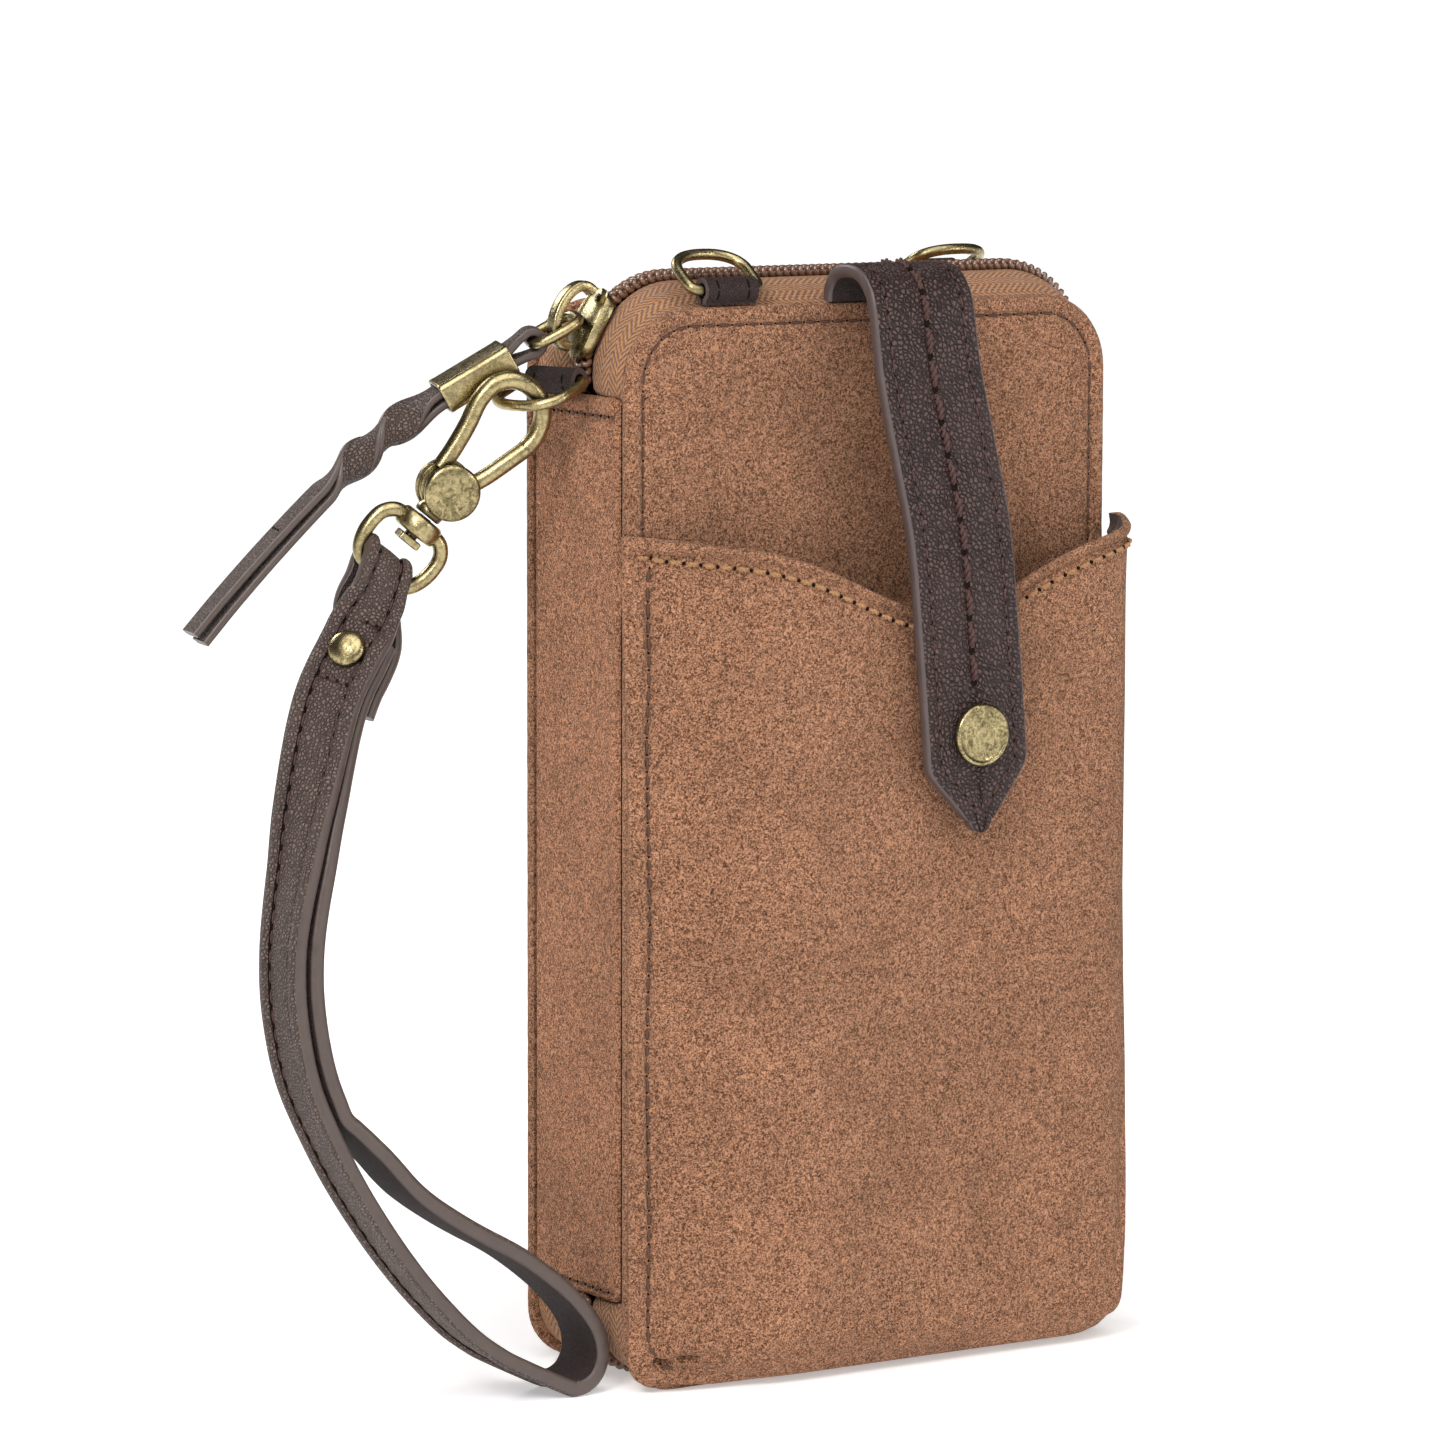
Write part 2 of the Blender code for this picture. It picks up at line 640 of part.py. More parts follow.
def build_link(parent):
    """The oval wire link between the slider's crown and the leather thong."""
    start = link_start()
    along = (LINK_END - start).normalized()
    length = (LINK_END - start).length
    across = crosswise(Vector((0.0, 1.0, 0.0)), along)
    path = []
    steps = 24
    for k in range(steps):
        angle = 2 * math.pi * (k + 0.5) / steps
        c = math.cos(angle)
        s = math.sin(angle)
        u = 0.5 * length * (1.0 - math.copysign(abs(c) ** 0.7, c))
        path.append(start + along * u + across * LINK_HALF_WIDTH * math.copysign(abs(s) ** 0.6, s))
    normal = along.cross(across)
    tube("pull_link", path, LINK_WIRE, BRASS, parent, closed=True, side=normal)


def thong_path():
    """Both layers of the thong in one line: up the near one, round the link, down the other."""
    centre = smooth(THONG_ROUTE, 3)
    runs = tangents(centre)
    upper = []
    lower = []
    for i, (point, run) in enumerate(zip(centre, runs)):
        normal = crosswise(THONG_ACROSS, run).cross(run)
        share = i / (len(centre) - 1)
        spread = THONG_FOLD_RADIUS - 0.95 * min(share / 0.09, 1.0) + 0.5 * max(share - 0.6, 0.0)
        upper.append(point + normal * spread)
        lower.append(point - normal * spread)
    normal = crosswise(THONG_ACROSS, runs[0]).cross(runs[0])
    turn = []
    for k in range(1, 6):
        angle = math.pi * k / 6
        turn.append(LINK_END + normal * THONG_FOLD_RADIUS * math.cos(angle)
                    - runs[0] * THONG_FOLD_RADIUS * math.sin(angle))
    return upper[::-1] + turn + lower


def build_thong(parent):
    """The leather thong, folded in two through the link."""
    path = thong_path()
    widths = []
    for point in path:
        share = min(max((point - LINK_END).length - 1.8, 0.0) / 3.0, 1.0)
        widths.append(THONG_FOLD_HALF_WIDTH + share * (0.5 * THONG_WIDTH - THONG_FOLD_HALF_WIDTH))
    ribbon("pull_thong", path, [THONG_ACROSS] * len(path), widths, THONG_THICKNESS, GREY_LEATHER,
           parent)


def build_ferrule(parent):
    """The square brass tube that grips the thong's two layers."""
    axis = (Vector(THONG_ROUTE[2]) - LINK_END).normalized()
    across = crosswise(THONG_ACROSS, axis)
    normal = across.cross(axis)
    near = LINK_END + axis * FERRULE_START
    rings = []
    for grow, place in ((0.0, 0.0), (0.0, FERRULE_LENGTH), (-FERRULE_WALL, FERRULE_LENGTH),
                        (-FERRULE_WALL, 0.0)):
        half_width = 0.5 * FERRULE_SIZE[0] + grow
        half_height = 0.5 * FERRULE_SIZE[1] + grow
        corner = FERRULE_CORNER + grow
        ring = []
        for cx, cy, begin in ((1, 1, 0), (-1, 1, 90), (-1, -1, 180), (1, -1, 270)):
            for k in range(3):
                angle = math.radians(begin + 45 * k)
                u = cx * (half_width - corner) + corner * math.cos(angle)
                v = cy * (half_height - corner) + corner * math.sin(angle)
                ring.append(near + axis * place + across * u + normal * v)
        rings.append(ring)
    loft("pull_ferrule", rings, BRASS, parent, closed=True)


def hook_frame():
    """The snap hook's boss centre and its across direction."""
    across = HOOK_ALONG.cross(HOOK_NORMAL).normalized()
    return spine_ring_end() - HOOK_ALONG * HOOK_HANG, across


def spine_ring_axes():
    """Direction of the spine ring's flat side and of its bow."""
    along = Vector((0.34, -0.94, 0.0)).normalized()
    out = crosswise(Vector((-0.882, -0.33, -0.336)), along)
    return along, out


def spine_ring_end():
    """Middle of the wire at the bow of the spine ring, where the hook hangs."""
    along, out = spine_ring_axes()
    return Vector(SPINE_TAB) + out * SPINE_RING_DEPTH


def in_hook(points):
    """Turn (across, along) pairs into points of the hook's plane."""
    centre, across = hook_frame()
    return [centre + across * u + HOOK_ALONG * v for u, v in points]


def build_hook(parent):
    """The snap hook's body, cast in one: boss with a slot for the gate, wire hook and neck."""
    centre, across = hook_frame()
    normal = HOOK_NORMAL
    body = lathe("clasp_body", ((BOSS_RADIUS, -BOSS_HALF), (BOSS_RADIUS, BOSS_HALF)), centre,
                 normal, BRASS, parent)
    eye_room = lathe("eye_room", ((EYE_RADIUS + 0.4, -1.6), (EYE_RADIUS + 0.4, 1.6)), centre,
                     normal, None, parent)
    combine(body, eye_room, 'DIFFERENCE')
    room = []
    for depth in (-1.6, 1.6):
        room.append([centre + across * u + HOOK_ALONG * v + normal * depth
                     for u, v in ((-0.2, -1.6), (6.5, -1.6), (6.5, 6.5), (-1.7, 6.5))])
    combine(body, loft("gate_room", room, None, parent), 'DIFFERENCE')
    wire = tube("hook_wire", smooth(in_hook(HOOK_ROUTE), 3), HOOK_WIRE, None, parent,
                sides=10, side=normal)
    combine(body, wire, 'UNION')
    neck = lathe("hook_neck", ((2.2, -5.2), (2.2, -3.1)), centre, HOOK_ALONG, None, parent,
                 sides=16)
    combine(body, neck, 'UNION')
    combine(body, pin_bore("hook_bore", parent), 'DIFFERENCE')


def pin_bore(name, parent):
    """The hole along the gate's pin, through whatever it is taken from."""
    return lathe(name, ((PIN_RADIUS + GAP, -5.0), (PIN_RADIUS + GAP, 5.0)), hook_frame()[0],
                 HOOK_NORMAL, None, parent, sides=12)


def build_hook_trim(parent):
    """The gate's pin, the two discs over its ends and the post that the loop turns on."""
    centre = hook_frame()[0]
    lathe("clasp_pin", ((PIN_RADIUS, -BOSS_HALF), (PIN_RADIUS, BOSS_HALF)), centre, HOOK_NORMAL,
          BRASS, parent, sides=12)
    for name, way in (("clasp_disc_front", 1.0), ("clasp_disc_rear", -1.0)):
        lathe(name, ((DISC_RADIUS - 0.2, BOSS_HALF + GAP), (DISC_RADIUS, BOSS_HALF + 0.5),
                     (DISC_RADIUS, BOSS_HALF + 1.1), (DISC_RADIUS - 0.5, BOSS_HALF + 1.5),
                     (1.5, BOSS_HALF + 1.7)), centre, HOOK_NORMAL * way, BRASS, parent, sides=24)
    lathe("swivel_post", ((2.1, -10.6), (2.1, -9.3), (1.1, -9.2), (1.1, -5.5)), centre,
          HOOK_ALONG, BRASS, parent, sides=16)


def build_gate(parent):
    """The sprung gate, with the eye that it turns on."""
    gate = tube("clasp_gate", smooth(in_hook(GATE_ROUTE), 3), GATE_WIRE, BRASS, parent,
                side=HOOK_NORMAL)
    eye = lathe("gate_eye", ((EYE_RADIUS, -1.3), (EYE_RADIUS, 1.3)), hook_frame()[0],
                HOOK_NORMAL, None, parent, sides=16)
    combine(gate, eye, 'UNION')
    combine(gate, pin_bore("gate_bore", parent), 'DIFFERENCE')


def build_swivel_loop(parent):
    """The turning loop that the wrist strap folds through, with its collar."""
    centre = hook_frame()[0]
    whole = list(LOOP_ROUTE) + [(-u, v) for u, v in LOOP_ROUTE[-2::-1]]
    path = smooth(in_hook(whole), 2)
    loop = tube("swivel_loop", path, LOOP_WIRE, BRASS, parent, side=HOOK_NORMAL)
    collar = lathe("loop_collar", ((COLLAR_RADIUS - 0.5, COLLAR_FOOT),
                                   (COLLAR_RADIUS, COLLAR_FOOT + 0.8),
                                   (COLLAR_RADIUS, COLLAR_TOP - 0.8),
                                   (COLLAR_RADIUS - 0.6, COLLAR_TOP)),
                   centre, HOOK_ALONG, None, parent)
    combine(loop, collar, 'UNION')
    bore = lathe("post_bore", ((1.4, COLLAR_FOOT - 3.0), (1.4, COLLAR_TOP + 3.0)), centre,
                 HOOK_ALONG, None, parent, sides=12)
    combine(loop, bore, 'DIFFERENCE')


def wrist_width(point):
    """Width direction of the wrist strap, which twists in two steps from the bight to the loop."""
    top = hook_frame()[1]
    share = 0.0
    for low, high, part in WRIST_TWISTS:
        rise = min(max((point.z - low) / (high - low), 0.0), 1.0)
        share += part * rise * rise * (3.0 - 2.0 * rise)
    return (WRIST_FAR_WIDTH * (1.0 - share) + top * share).normalized()


def wrist_stations():
    """The doubled strap's centre line: inner layer, bight, outer layer, fold and lap."""
    outer = smooth(WRIST_OUTER, 3)
    loop_foot = in_hook([(0.0, -LOOP_FOOT)])[0]
    inner = []
    lap = []
    for point, run in zip(outer, tangents(outer)):
        normal = crosswise(wrist_width(point), run).cross(run)
        if 46.0 < point.z < 123.6:
            inner.append(point + normal * WRIST_LAYER)
        if point.z > 109.0:
            lap.append(point + normal * 2 * WRIST_LAYER)
    bight = smooth((outer[-2],) + WRIST_BIGHT + (inner[-1],), 3)[3:-1]
    out = (outer[0] - lap[0]).normalized()
    rise = crosswise(loop_foot - 0.5 * (outer[0] + lap[0]), out)
    fold = []
    for k in range(9):
        angle = math.pi * k / 8
        fold.append(loop_foot + out * WRIST_LAYER * math.cos(angle)
                    + rise * WRIST_LAYER * math.sin(angle))
    return inner + bight[::-1] + outer[::-1][1:] + fold + lap


def build_wrist_strap(parent):
    """The wrist strap with its rivet."""
    path = wrist_stations()
    wide = [wrist_width(point) for point in path]
    widths = []
    for point in path:
        share = min(max((point.z - 121.0) / 8.0, 0.0), 1.0)
        widths.append(WRIST_HALF_WIDTH + (WRIST_FOLD_HALF_WIDTH - WRIST_HALF_WIDTH) * share)
    strap = ribbon("wrist_strap", path, wide, widths, WRIST_THICKNESS, GREY_LEATHER, parent)
    outer = smooth(WRIST_OUTER, 3)
    place = outer[RIVET_STATION]
    run = tangents(outer)[RIVET_STATION]
    inward = crosswise(wrist_width(place), run).cross(run)
    hole = lathe("rivet_hole", ((1.3, -4.0), (1.3, 2 * WRIST_LAYER + 4.0)), place, inward, None,
                 parent, sides=12)
    combine(strap, hole, 'DIFFERENCE')
    face = 0.5 * WRIST_THICKNESS + GAP
    far = 2 * WRIST_LAYER + face
    lathe("rivet_cap", ((1.6, -face - 1.4), (2.6, -face - 0.8), (2.8, -face)), place, inward,
          BRASS, parent)
    lathe("rivet_post", ((0.95, 0.4 - face), (0.95, far - 0.05), (2.6, far), (2.6, far + 0.5),
                         (1.6, far + 0.9)), place, inward, BRASS, parent, sides=16)


def build_body(front):
    """Outer panels, linings, spine and the card side."""
    outline = rounded_outline(LEFT, RIGHT, 0.0, PANEL_HEIGHT, PANEL_FOOT_RADIUS,
                              PANEL_TOP_RADIUS)
    sheet("front_panel", outline, FRONT, FRONT_SEAM, SUEDE, front)
    sheet("back_panel", outline, BACK_SEAM, BACK, SUEDE)
    inner = rounded_outline(LEFT + LINING_INSET, RIGHT - LINING_INSET, LINING_INSET,
                            PANEL_HEIGHT - LINING_INSET, PANEL_FOOT_RADIUS - 3.0,
                            PANEL_TOP_RADIUS - 3.0)
    front_lining = FRONT_SEAM + GAP
    back_lining = BACK_SEAM - GAP
    sheet("front_lining", inner, front_lining, front_lining + LINING_THICKNESS, LINING, front)
    sheet("back_lining", inner, back_lining - LINING_THICKNESS, back_lining, LINING)
    left = LEFT + LINING_INSET + 1.5
    right = RIGHT - LINING_INSET - 1.5
    foot = LINING_INSET + 1.5
    slip = front_lining + LINING_THICKNESS + GAP
    sheet("slip_pocket", rounded_outline(left, right, foot, SLIP_POCKET_TOP, 4.0, 1.5, 3),
          slip, slip + CARD_POCKET_THICKNESS, LINING, front)
    for number, top in enumerate(CARD_POCKET_TOPS, start=1):
        face = back_lining - LINING_THICKNESS - GAP - CARD_POCKET_STEP * (number - 1)
        sheet("card_pocket_%d" % number, rounded_outline(left, right, foot, top, 4.0, 1.5, 3),
              face - CARD_POCKET_THICKNESS, face, DARK_LEATHER)


def build_spine():
    """The suede side strip between the two panels and its lining."""
    reach = BACK_SEAM - GAP
    for name, x0, x1, trim in (("spine_panel", LEFT, LEFT + SPINE_THICKNESS, 0.0),
                               ("spine_lining", LEFT + SPINE_THICKNESS + GAP,
                                LEFT + SPINE_THICKNESS + GAP + LINING_THICKNESS, 3.0)):
        outline = rounded_outline(trim - reach, reach - trim, SPINE_FOOT + trim,
                                  SPINE_TOP - trim, 2.0, 2.0, 3)
        rings = [[(x, y, z) for y, z in outline] for x in (x0, x1)]
        loft(name, rings, SUEDE if trim == 0.0 else LINING)


def build_wallet():
    """Every piece, body by body."""
    front = pivot("front_cover_hinge", (LEFT, FRONT_SEAM + 0.5 * GAP, 0.0))
    flap = pivot("closure_strap_hinge", STRAP_HINGE)
    front_ring = pivot("front_ring_hinge", FRONT_TAB)
    back_ring = pivot("back_ring_hinge", BACK_TAB)
    spine_ring = pivot("spine_ring_hinge", SPINE_TAB)
    slider = pivot("slider_corner", corner_point(0.0, 0.0))
    link = pivot("link_hinge", link_start())
    thong = pivot("thong_hinge", LINK_END)
    hook = pivot("hook_hang", spine_ring_end())
    gate = pivot("gate_hinge", hook_frame()[0])
    swivel = pivot("swivel", hook_frame()[0])
    wrist = pivot("wrist_hinge", in_hook([(0.0, LOOP_MIDDLE)])[0])

    build_body(front)
    build_spine()
    build_tape("front_zip_tape", FRONT_SEAM + GAP, COIL_SPLIT - COIL_WIDTH - 1.5 * GAP, front)
    build_tape("back_zip_tape", BACK_SEAM - GAP, COIL_SPLIT + COIL_WIDTH + 1.5 * GAP)
    build_coil("front_zip_coil", COIL_SPLIT - 0.5 * GAP - COIL_WIDTH, COIL_SPLIT - 0.5 * GAP,
               front)
    build_coil("back_zip_coil", COIL_SPLIT + 0.5 * GAP, COIL_SPLIT + 0.5 * GAP + COIL_WIDTH)
    build_phone_pocket(front)
    build_closure_strap(front, flap)
    build_snap(front, flap)

    across = (1.0, 0.0, 0.0)
    build_tab("front_ring_tab", FRONT_TAB, across, (0, 0, -1), 2.2, TOP_TAB_LENGTH, front)
    build_ring("front_ring", FRONT_TAB, across, (0.0, 0.82, 0.57), RING_DEPTH, front_ring)
    build_tab("back_ring_tab", BACK_TAB, across, (0, 0, -1), 2.2, TOP_TAB_LENGTH)
    build_ring("back_ring", BACK_TAB, across, (0.0, -0.9, 0.44), RING_DEPTH, back_ring)
    along, out = spine_ring_axes()
    build_tab("spine_ring_tab", SPINE_TAB, along, (0.4, 0, -1.0), 2.0, SPINE_TAB_LENGTH)
    build_ring("spine_ring", SPINE_TAB, along, out, SPINE_RING_DEPTH, spine_ring)

    build_slider(slider)
    build_link(link)
    build_thong(thong)
    build_ferrule(thong)
    build_hook(hook)
    build_hook_trim(hook)
    build_gate(gate)
    build_swivel_loop(swivel)
    build_wrist_strap(wrist)


clear_scene()
build_wallet()
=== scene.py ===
"""Looks for the zip-around phone wallet: suede, leather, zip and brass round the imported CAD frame.

The lengths below are millimetres in the CAD part's frame, and MM turns them into Blender's metres.
Routes and outlines repeat the part's own formulas, at a finer resolution.
"""
import json
import math

import bmesh
import bpy
from mathutils import Matrix, Vector, noise

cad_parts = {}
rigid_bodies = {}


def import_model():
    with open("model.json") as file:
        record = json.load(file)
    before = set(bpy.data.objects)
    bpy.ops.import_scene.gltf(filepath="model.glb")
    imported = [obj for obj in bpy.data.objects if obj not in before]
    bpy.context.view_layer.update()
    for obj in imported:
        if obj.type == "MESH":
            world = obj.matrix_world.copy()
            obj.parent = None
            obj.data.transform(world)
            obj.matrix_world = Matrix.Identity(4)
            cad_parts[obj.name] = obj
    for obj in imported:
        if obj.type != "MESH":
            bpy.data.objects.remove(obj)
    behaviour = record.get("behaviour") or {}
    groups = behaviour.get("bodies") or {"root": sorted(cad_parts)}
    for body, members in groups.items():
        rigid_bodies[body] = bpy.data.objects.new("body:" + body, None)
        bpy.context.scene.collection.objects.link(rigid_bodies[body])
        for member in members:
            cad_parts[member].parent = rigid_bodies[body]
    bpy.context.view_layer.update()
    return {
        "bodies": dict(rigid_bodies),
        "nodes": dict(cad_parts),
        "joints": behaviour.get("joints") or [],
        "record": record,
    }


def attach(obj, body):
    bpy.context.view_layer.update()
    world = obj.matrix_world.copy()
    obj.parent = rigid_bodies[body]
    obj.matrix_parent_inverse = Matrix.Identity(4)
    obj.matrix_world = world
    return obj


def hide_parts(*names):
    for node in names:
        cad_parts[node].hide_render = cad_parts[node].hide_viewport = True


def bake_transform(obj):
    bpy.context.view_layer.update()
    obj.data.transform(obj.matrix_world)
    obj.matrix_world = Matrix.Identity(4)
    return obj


MM = 0.001

# Camera at the photograph's angle
CAMERA_PLACE = (-552.2, -842.0, 232.5)
CAMERA_TARGET = (-20.357, 0.0, 104.682)
CAMERA_LENS = 154.87
CAMERA_ROLL = 0.15
CAMERA_SENSOR = 36.0

# Surround: from and to a height on the unit sphere, and the brightness at each
SKY_BAND = (0.05, 0.75, 0.021, 0.051)
HORIZON_BAND = (0.11, 0.14, 0.86, 0.0)

# Studio: each softbox has a name, a place, a size and a power in watts
FLOOR_REACH = 60.0           # metres
SUN_POWER = 2.5
SUN_ANGLE = 70.0
SUN_AIM = (0.25, 0.55, -0.95)
LIGHT_TARGET = (-25, 0, 95)
SOFTBOXES = (("key_softbox", (-700, -520, 620), 240, 4.0),
             ("fill_softbox", (520, -900, 380), 260, 1.8),
             ("back_softbox", (-250, 800, 700), 300, 3.0))

# CAD nodes that need no finer shape, only a finish
PLAIN_BRASS_NODES = ("snap_stud", "stud_rivet", "snap_socket", "clasp_pin")

# Wallet body
LEFT = -48.0
RIGHT = 43.6
HEIGHT = 173.0
FRONT = -16.0
BACK = 16.0
COVER_THICKNESS = 2.2
FRONT_SEAM = FRONT + COVER_THICKNESS
BACK_SEAM = BACK - COVER_THICKNESS
TOP_RADIUS = 12.0
FOOT_RADIUS = 9.0
SEAM_INSET = 3.0             # from a cover's edge to its row of stitches
SEAM_PITCH = 2.7
PLATE_STEP = 1.35            # spacing of the points round a panel's straight sides
PLATE_ARC = 12               # steps round each of its corners
SPINE_FOOT = 14.0
SPINE_TOP = 159.0
SPINE_THICKNESS = 1.2
SPINE_CORNER = 3.5
SPINE_HEMS = (SPINE_FOOT + 1.9, SPINE_TOP - 3.1)
GAP = 0.3
# A cover's edge, seam groove and face: inset from its outline and height over its underside
COVER_PROFILE = ((1.6, 0.0), (0.4, 0.0), (0.05, 0.35), (-0.05, 1.0), (0.1, 1.6), (0.45, 2.0),
                 (1.0, 2.2), (1.7, 2.25), (2.25, 2.15), (2.6, 1.9), (3.0, 1.55), (3.4, 1.9),
                 (3.9, 2.12), (4.8, 2.2), (6.5, 2.2), (9.0, 2.2), (12.0, 2.2), (16.0, 2.2),
                 (21.0, 2.2), (27.0, 2.2), (34.0, 2.2), (41.0, 2.2), (45.2, 2.2))
LINING_INSET = 4.0
LINING_THICKNESS = 0.6
CARD_POCKET_TOPS = (118.0, 96.0, 74.0)
CARD_POCKET_STEP = 1.1
CARD_POCKET_THICKNESS = 0.8
SLIP_POCKET_TOP = 112.0
INNER_POCKET_INSET = LINING_INSET + 1.5
INNER_POCKET_CORNERS = (4.0, 1.5)       # radius at the foot and at the top
HINGE_LINING_THICKNESS = 0.5
HINGE_LINING_STEP = 6.0
HINGE_LINING_LEVELS = 23

# Sewing: thread radius, needle hole radius and the share of the pitch that a stitch covers
THREAD_RADIUS = 0.26
HOLE_RADIUS = 0.24
STITCH_SHARE = 0.68

# Zip
ZIP_LEFT = LEFT + 1.0
ZIP_RIGHT = RIGHT + 4.2
ZIP_FOOT = 1.0
ZIP_TOP = 177.0
ZIP_TOP_RADIUS = 15.0
ZIP_FOOT_RADIUS = 11.0
ZIP_ENDS = (160.4, 13.2)
ZIP_ARC = 24                 # steps round each corner of a zip edge
ZIP_DENSITY = 0.8            # points for each millimetre of its straight sides
TAPE_ENDS = (150.0, 22.0)    # the tape runs on for a little behind the spine
COIL_SPLIT = -0.9
COIL_WIDTH = 1.35
COIL_PITCH = 1.42
COIL_WIRE = 0.48
COIL_LIFT = 0.2
TAPE_EDGE_INSET = 1.4
TAPE_RINGS = 200
TAPE_COLUMNS = 15

# Phone pocket
POCKET_BULGE = 11.0
POCKET_THICKNESS = 1.3
POCKET_FOOT = 0.9
POCKET_TOP = 137.5
POCKET_DIP = 12.5
POCKET_DIP_X = 5.0
POCKET_DIP_SPREAD = 23.5
POCKET_LEFT_RAMP = 32.0
POCKET_RIGHT_RAMP = 14.5
POCKET_OVERHANG = 1.9
POCKET_CORNER = 5.5
POCKET_SEAM_CORNER = 9.0
POCKET_HEM = 3.0             # from the top edge down to the hem's stitches
POCKET_MID_X = 0.5 * (LEFT + RIGHT + POCKET_OVERHANG)
POCKET_REACH = 0.5 * (RIGHT + POCKET_OVERHANG - LEFT)
POCKET_DROPS = (6.0, 5.2, 4.6, 4.1, 3.7, 3.35, 3.0, 2.65, 2.3, 1.9, 1.4, 0.9, 0.45, 0.15, 0.0)
POCKET_ROWS = 84
POCKET_ROW_POWER = 1.45      # how much closer the rows lie at the foot
POCKET_COLUMNS = 150
CLOTH_COLUMNS = 56
CLOTH_ROWS = 52
CLOTH_FRAMES = 16
CLOTH_HEM_HOLD = 0.3         # how firmly the stiff hem is held, from 0 to 1
CLOTH_SETTINGS = {"quality": 8, "mass": 0.12, "tension_stiffness": 18.0,
                  "compression_stiffness": 9.0, "bending_stiffness": 1.5,
                  "vertex_group_mass": "sewn"}
CLOTH_LIMIT = 1.2            # furthest that the simulation may move the pocket

# Closure strap
STRAP_HALF_WIDTH = 9.6
STRAP_THICKNESS = 2.2
STRAP_TIP_LENGTH = 10.5
STRAP_SEAM = 2.5
STRAP_HINGE = (-1.2, -20.5, 179.45)
SNAP_X = 7.6
SNAP_Z = 104.5
SADDLE_PITCH = 5.3
SADDLE_STEPS = 14            # points along one pitch
SADDLE_KEPT = 12             # of them, those that the stitch covers

# Rings, tabs, slider and pull
RING_WIRE = 0.9
RING_HALF_WIDTH = 6.4
RING_DEPTH = 9.2
SPINE_RING_DEPTH = 10.4
TAB_OUTER = 2.1
TAB_INNER = 1.25
TAB_LEG = 2.2
TAB_LENGTH = 9.4
FRONT_TAB = (-29.0, -14.7, 175.5)
BACK_TAB = (29.3, 14.7, 175.5)
SPINE_TAB = (-51.3, 0.5, 161.2)
SLIDER_ANGLE = 151.0
SLIDER_SPAN = 40.0
SLIDER_WIDTH = 8.0
SLIDER_LOW = ZIP_TOP_RADIUS + 1.3
SLIDER_HIGH = SLIDER_LOW + 1.2
CROWN_RISE = 4.6
CROWN_SPAN = 30.0
LINK_WIRE = 0.85
LINK_HALF_WIDTH = 3.3
FERRULE_SIZE = (7.9, 4.9)
FERRULE_START = 4.2
FERRULE_LENGTH = 12.6
FERRULE_WALL = 0.5
THONG_WIDTH = 6.2
THONG_THICKNESS = 1.3
THONG_FOLD_HALF_WIDTH = 1.7
THONG_FOLD_RADIUS = 1.85
THONG_TWIST = (17.6, 41.0)   # the part of its length over which the thong is twisted
THONG_ACROSS = Vector((0.25, 1.0, 0.05))
THONG_ROUTE = ((-55.3, 1.5, 167.2), (-61.8, 3.8, 163.2), (-69.6, 6.55, 158.4),
               (-77.6, 9.3, 152.7), (-85.6, 11.4, 145.4), (-94.5, 13.4, 136.4),
               (-102.0, 14.8, 128.4), (-107.6, 15.8, 122.0))
LINK_END = Vector(THONG_ROUTE[0])
PULL_MARK_STATION = 84       # stations from the thong's fold to its stitch mark
BOX_CORNER_POINTS = 7

# Snap hook
HOOK_ALONG = Vector((0.5843, -0.2523, 0.7708)).normalized()
HOOK_NORMAL = Vector((-0.288, -0.953, -0.0937)).normalized()
HOOK_ACROSS = HOOK_ALONG.cross(HOOK_NORMAL).normalized()
HOOK_HANG = 17.0
HOOK_WIRE = 1.45
HOOK_ROUTE = ((-3.2, 2.0), (-3.5, 5.5), (-4.2, 9.8), (-5.2, 14.0), (-4.9, 17.4), (-3.0, 19.8),
              (0.0, 20.6), (3.0, 19.8), (4.9, 17.6), (5.7, 15.0), (5.7, 12.7))
GATE_WIRE = 1.36
GATE_ROUTE = ((1.5, 1.2), (3.4, 5.0), (5.6, 12.4))
LOOP_WIRE = 1.2
LOOP_ROUTE = ((2.6, -7.1), (4.6, -7.5), (6.0, -9.0), (6.4, -11.0), (6.2, -13.4), (5.2, -15.6),
              (3.4, -16.7), (0.0, -16.9))
LOOP_FOOT = 16.9

# Wrist strap
WRIST_HALF_WIDTH = 5.5
WRIST_FOLD_HALF_WIDTH = 4.3
WRIST_THICKNESS = 2.4
WRIST_LAYER = 3.2
WRIST_OUTER = ((-82.4, 2.6, 128.4), (-86.0, 2.2, 122.9), (-92.3, 1.1, 112.8), (-96.7, -0.1, 99.0),
               (-99.9, -1.2, 86.0), (-102.0, -2.0, 75.0), (-102.3, -3.0, 64.5),
               (-100.5, -4.0, 53.8), (-96.6, -5.0, 44.0), (-90.9, -6.0, 33.4),
               (-82.9, -6.7, 21.9), (-73.0, -6.9, 11.4), (-62.8, -6.9, 4.7))
WRIST_BIGHT = ((-56.6, -6.9, 1.9), (-52.6, -6.9, 2.2), (-50.6, -6.9, 5.0), (-50.6, -6.9, 8.6),
               (-52.4, -6.9, 12.4), (-57.0, -6.9, 17.6), (-64.6, -6.7, 23.6),
               (-74.0, -6.4, 29.2), (-82.4, -6.0, 35.2), (-88.8, -5.4, 42.2))
WRIST_FAR_WIDTH = Vector((0.05, -1.0, 0.0))
WRIST_TWISTS = ((72.0, 112.0, 0.45), (121.0, 131.0, 0.55))   # from, to, share of the twist
RIVET_STATION = 4

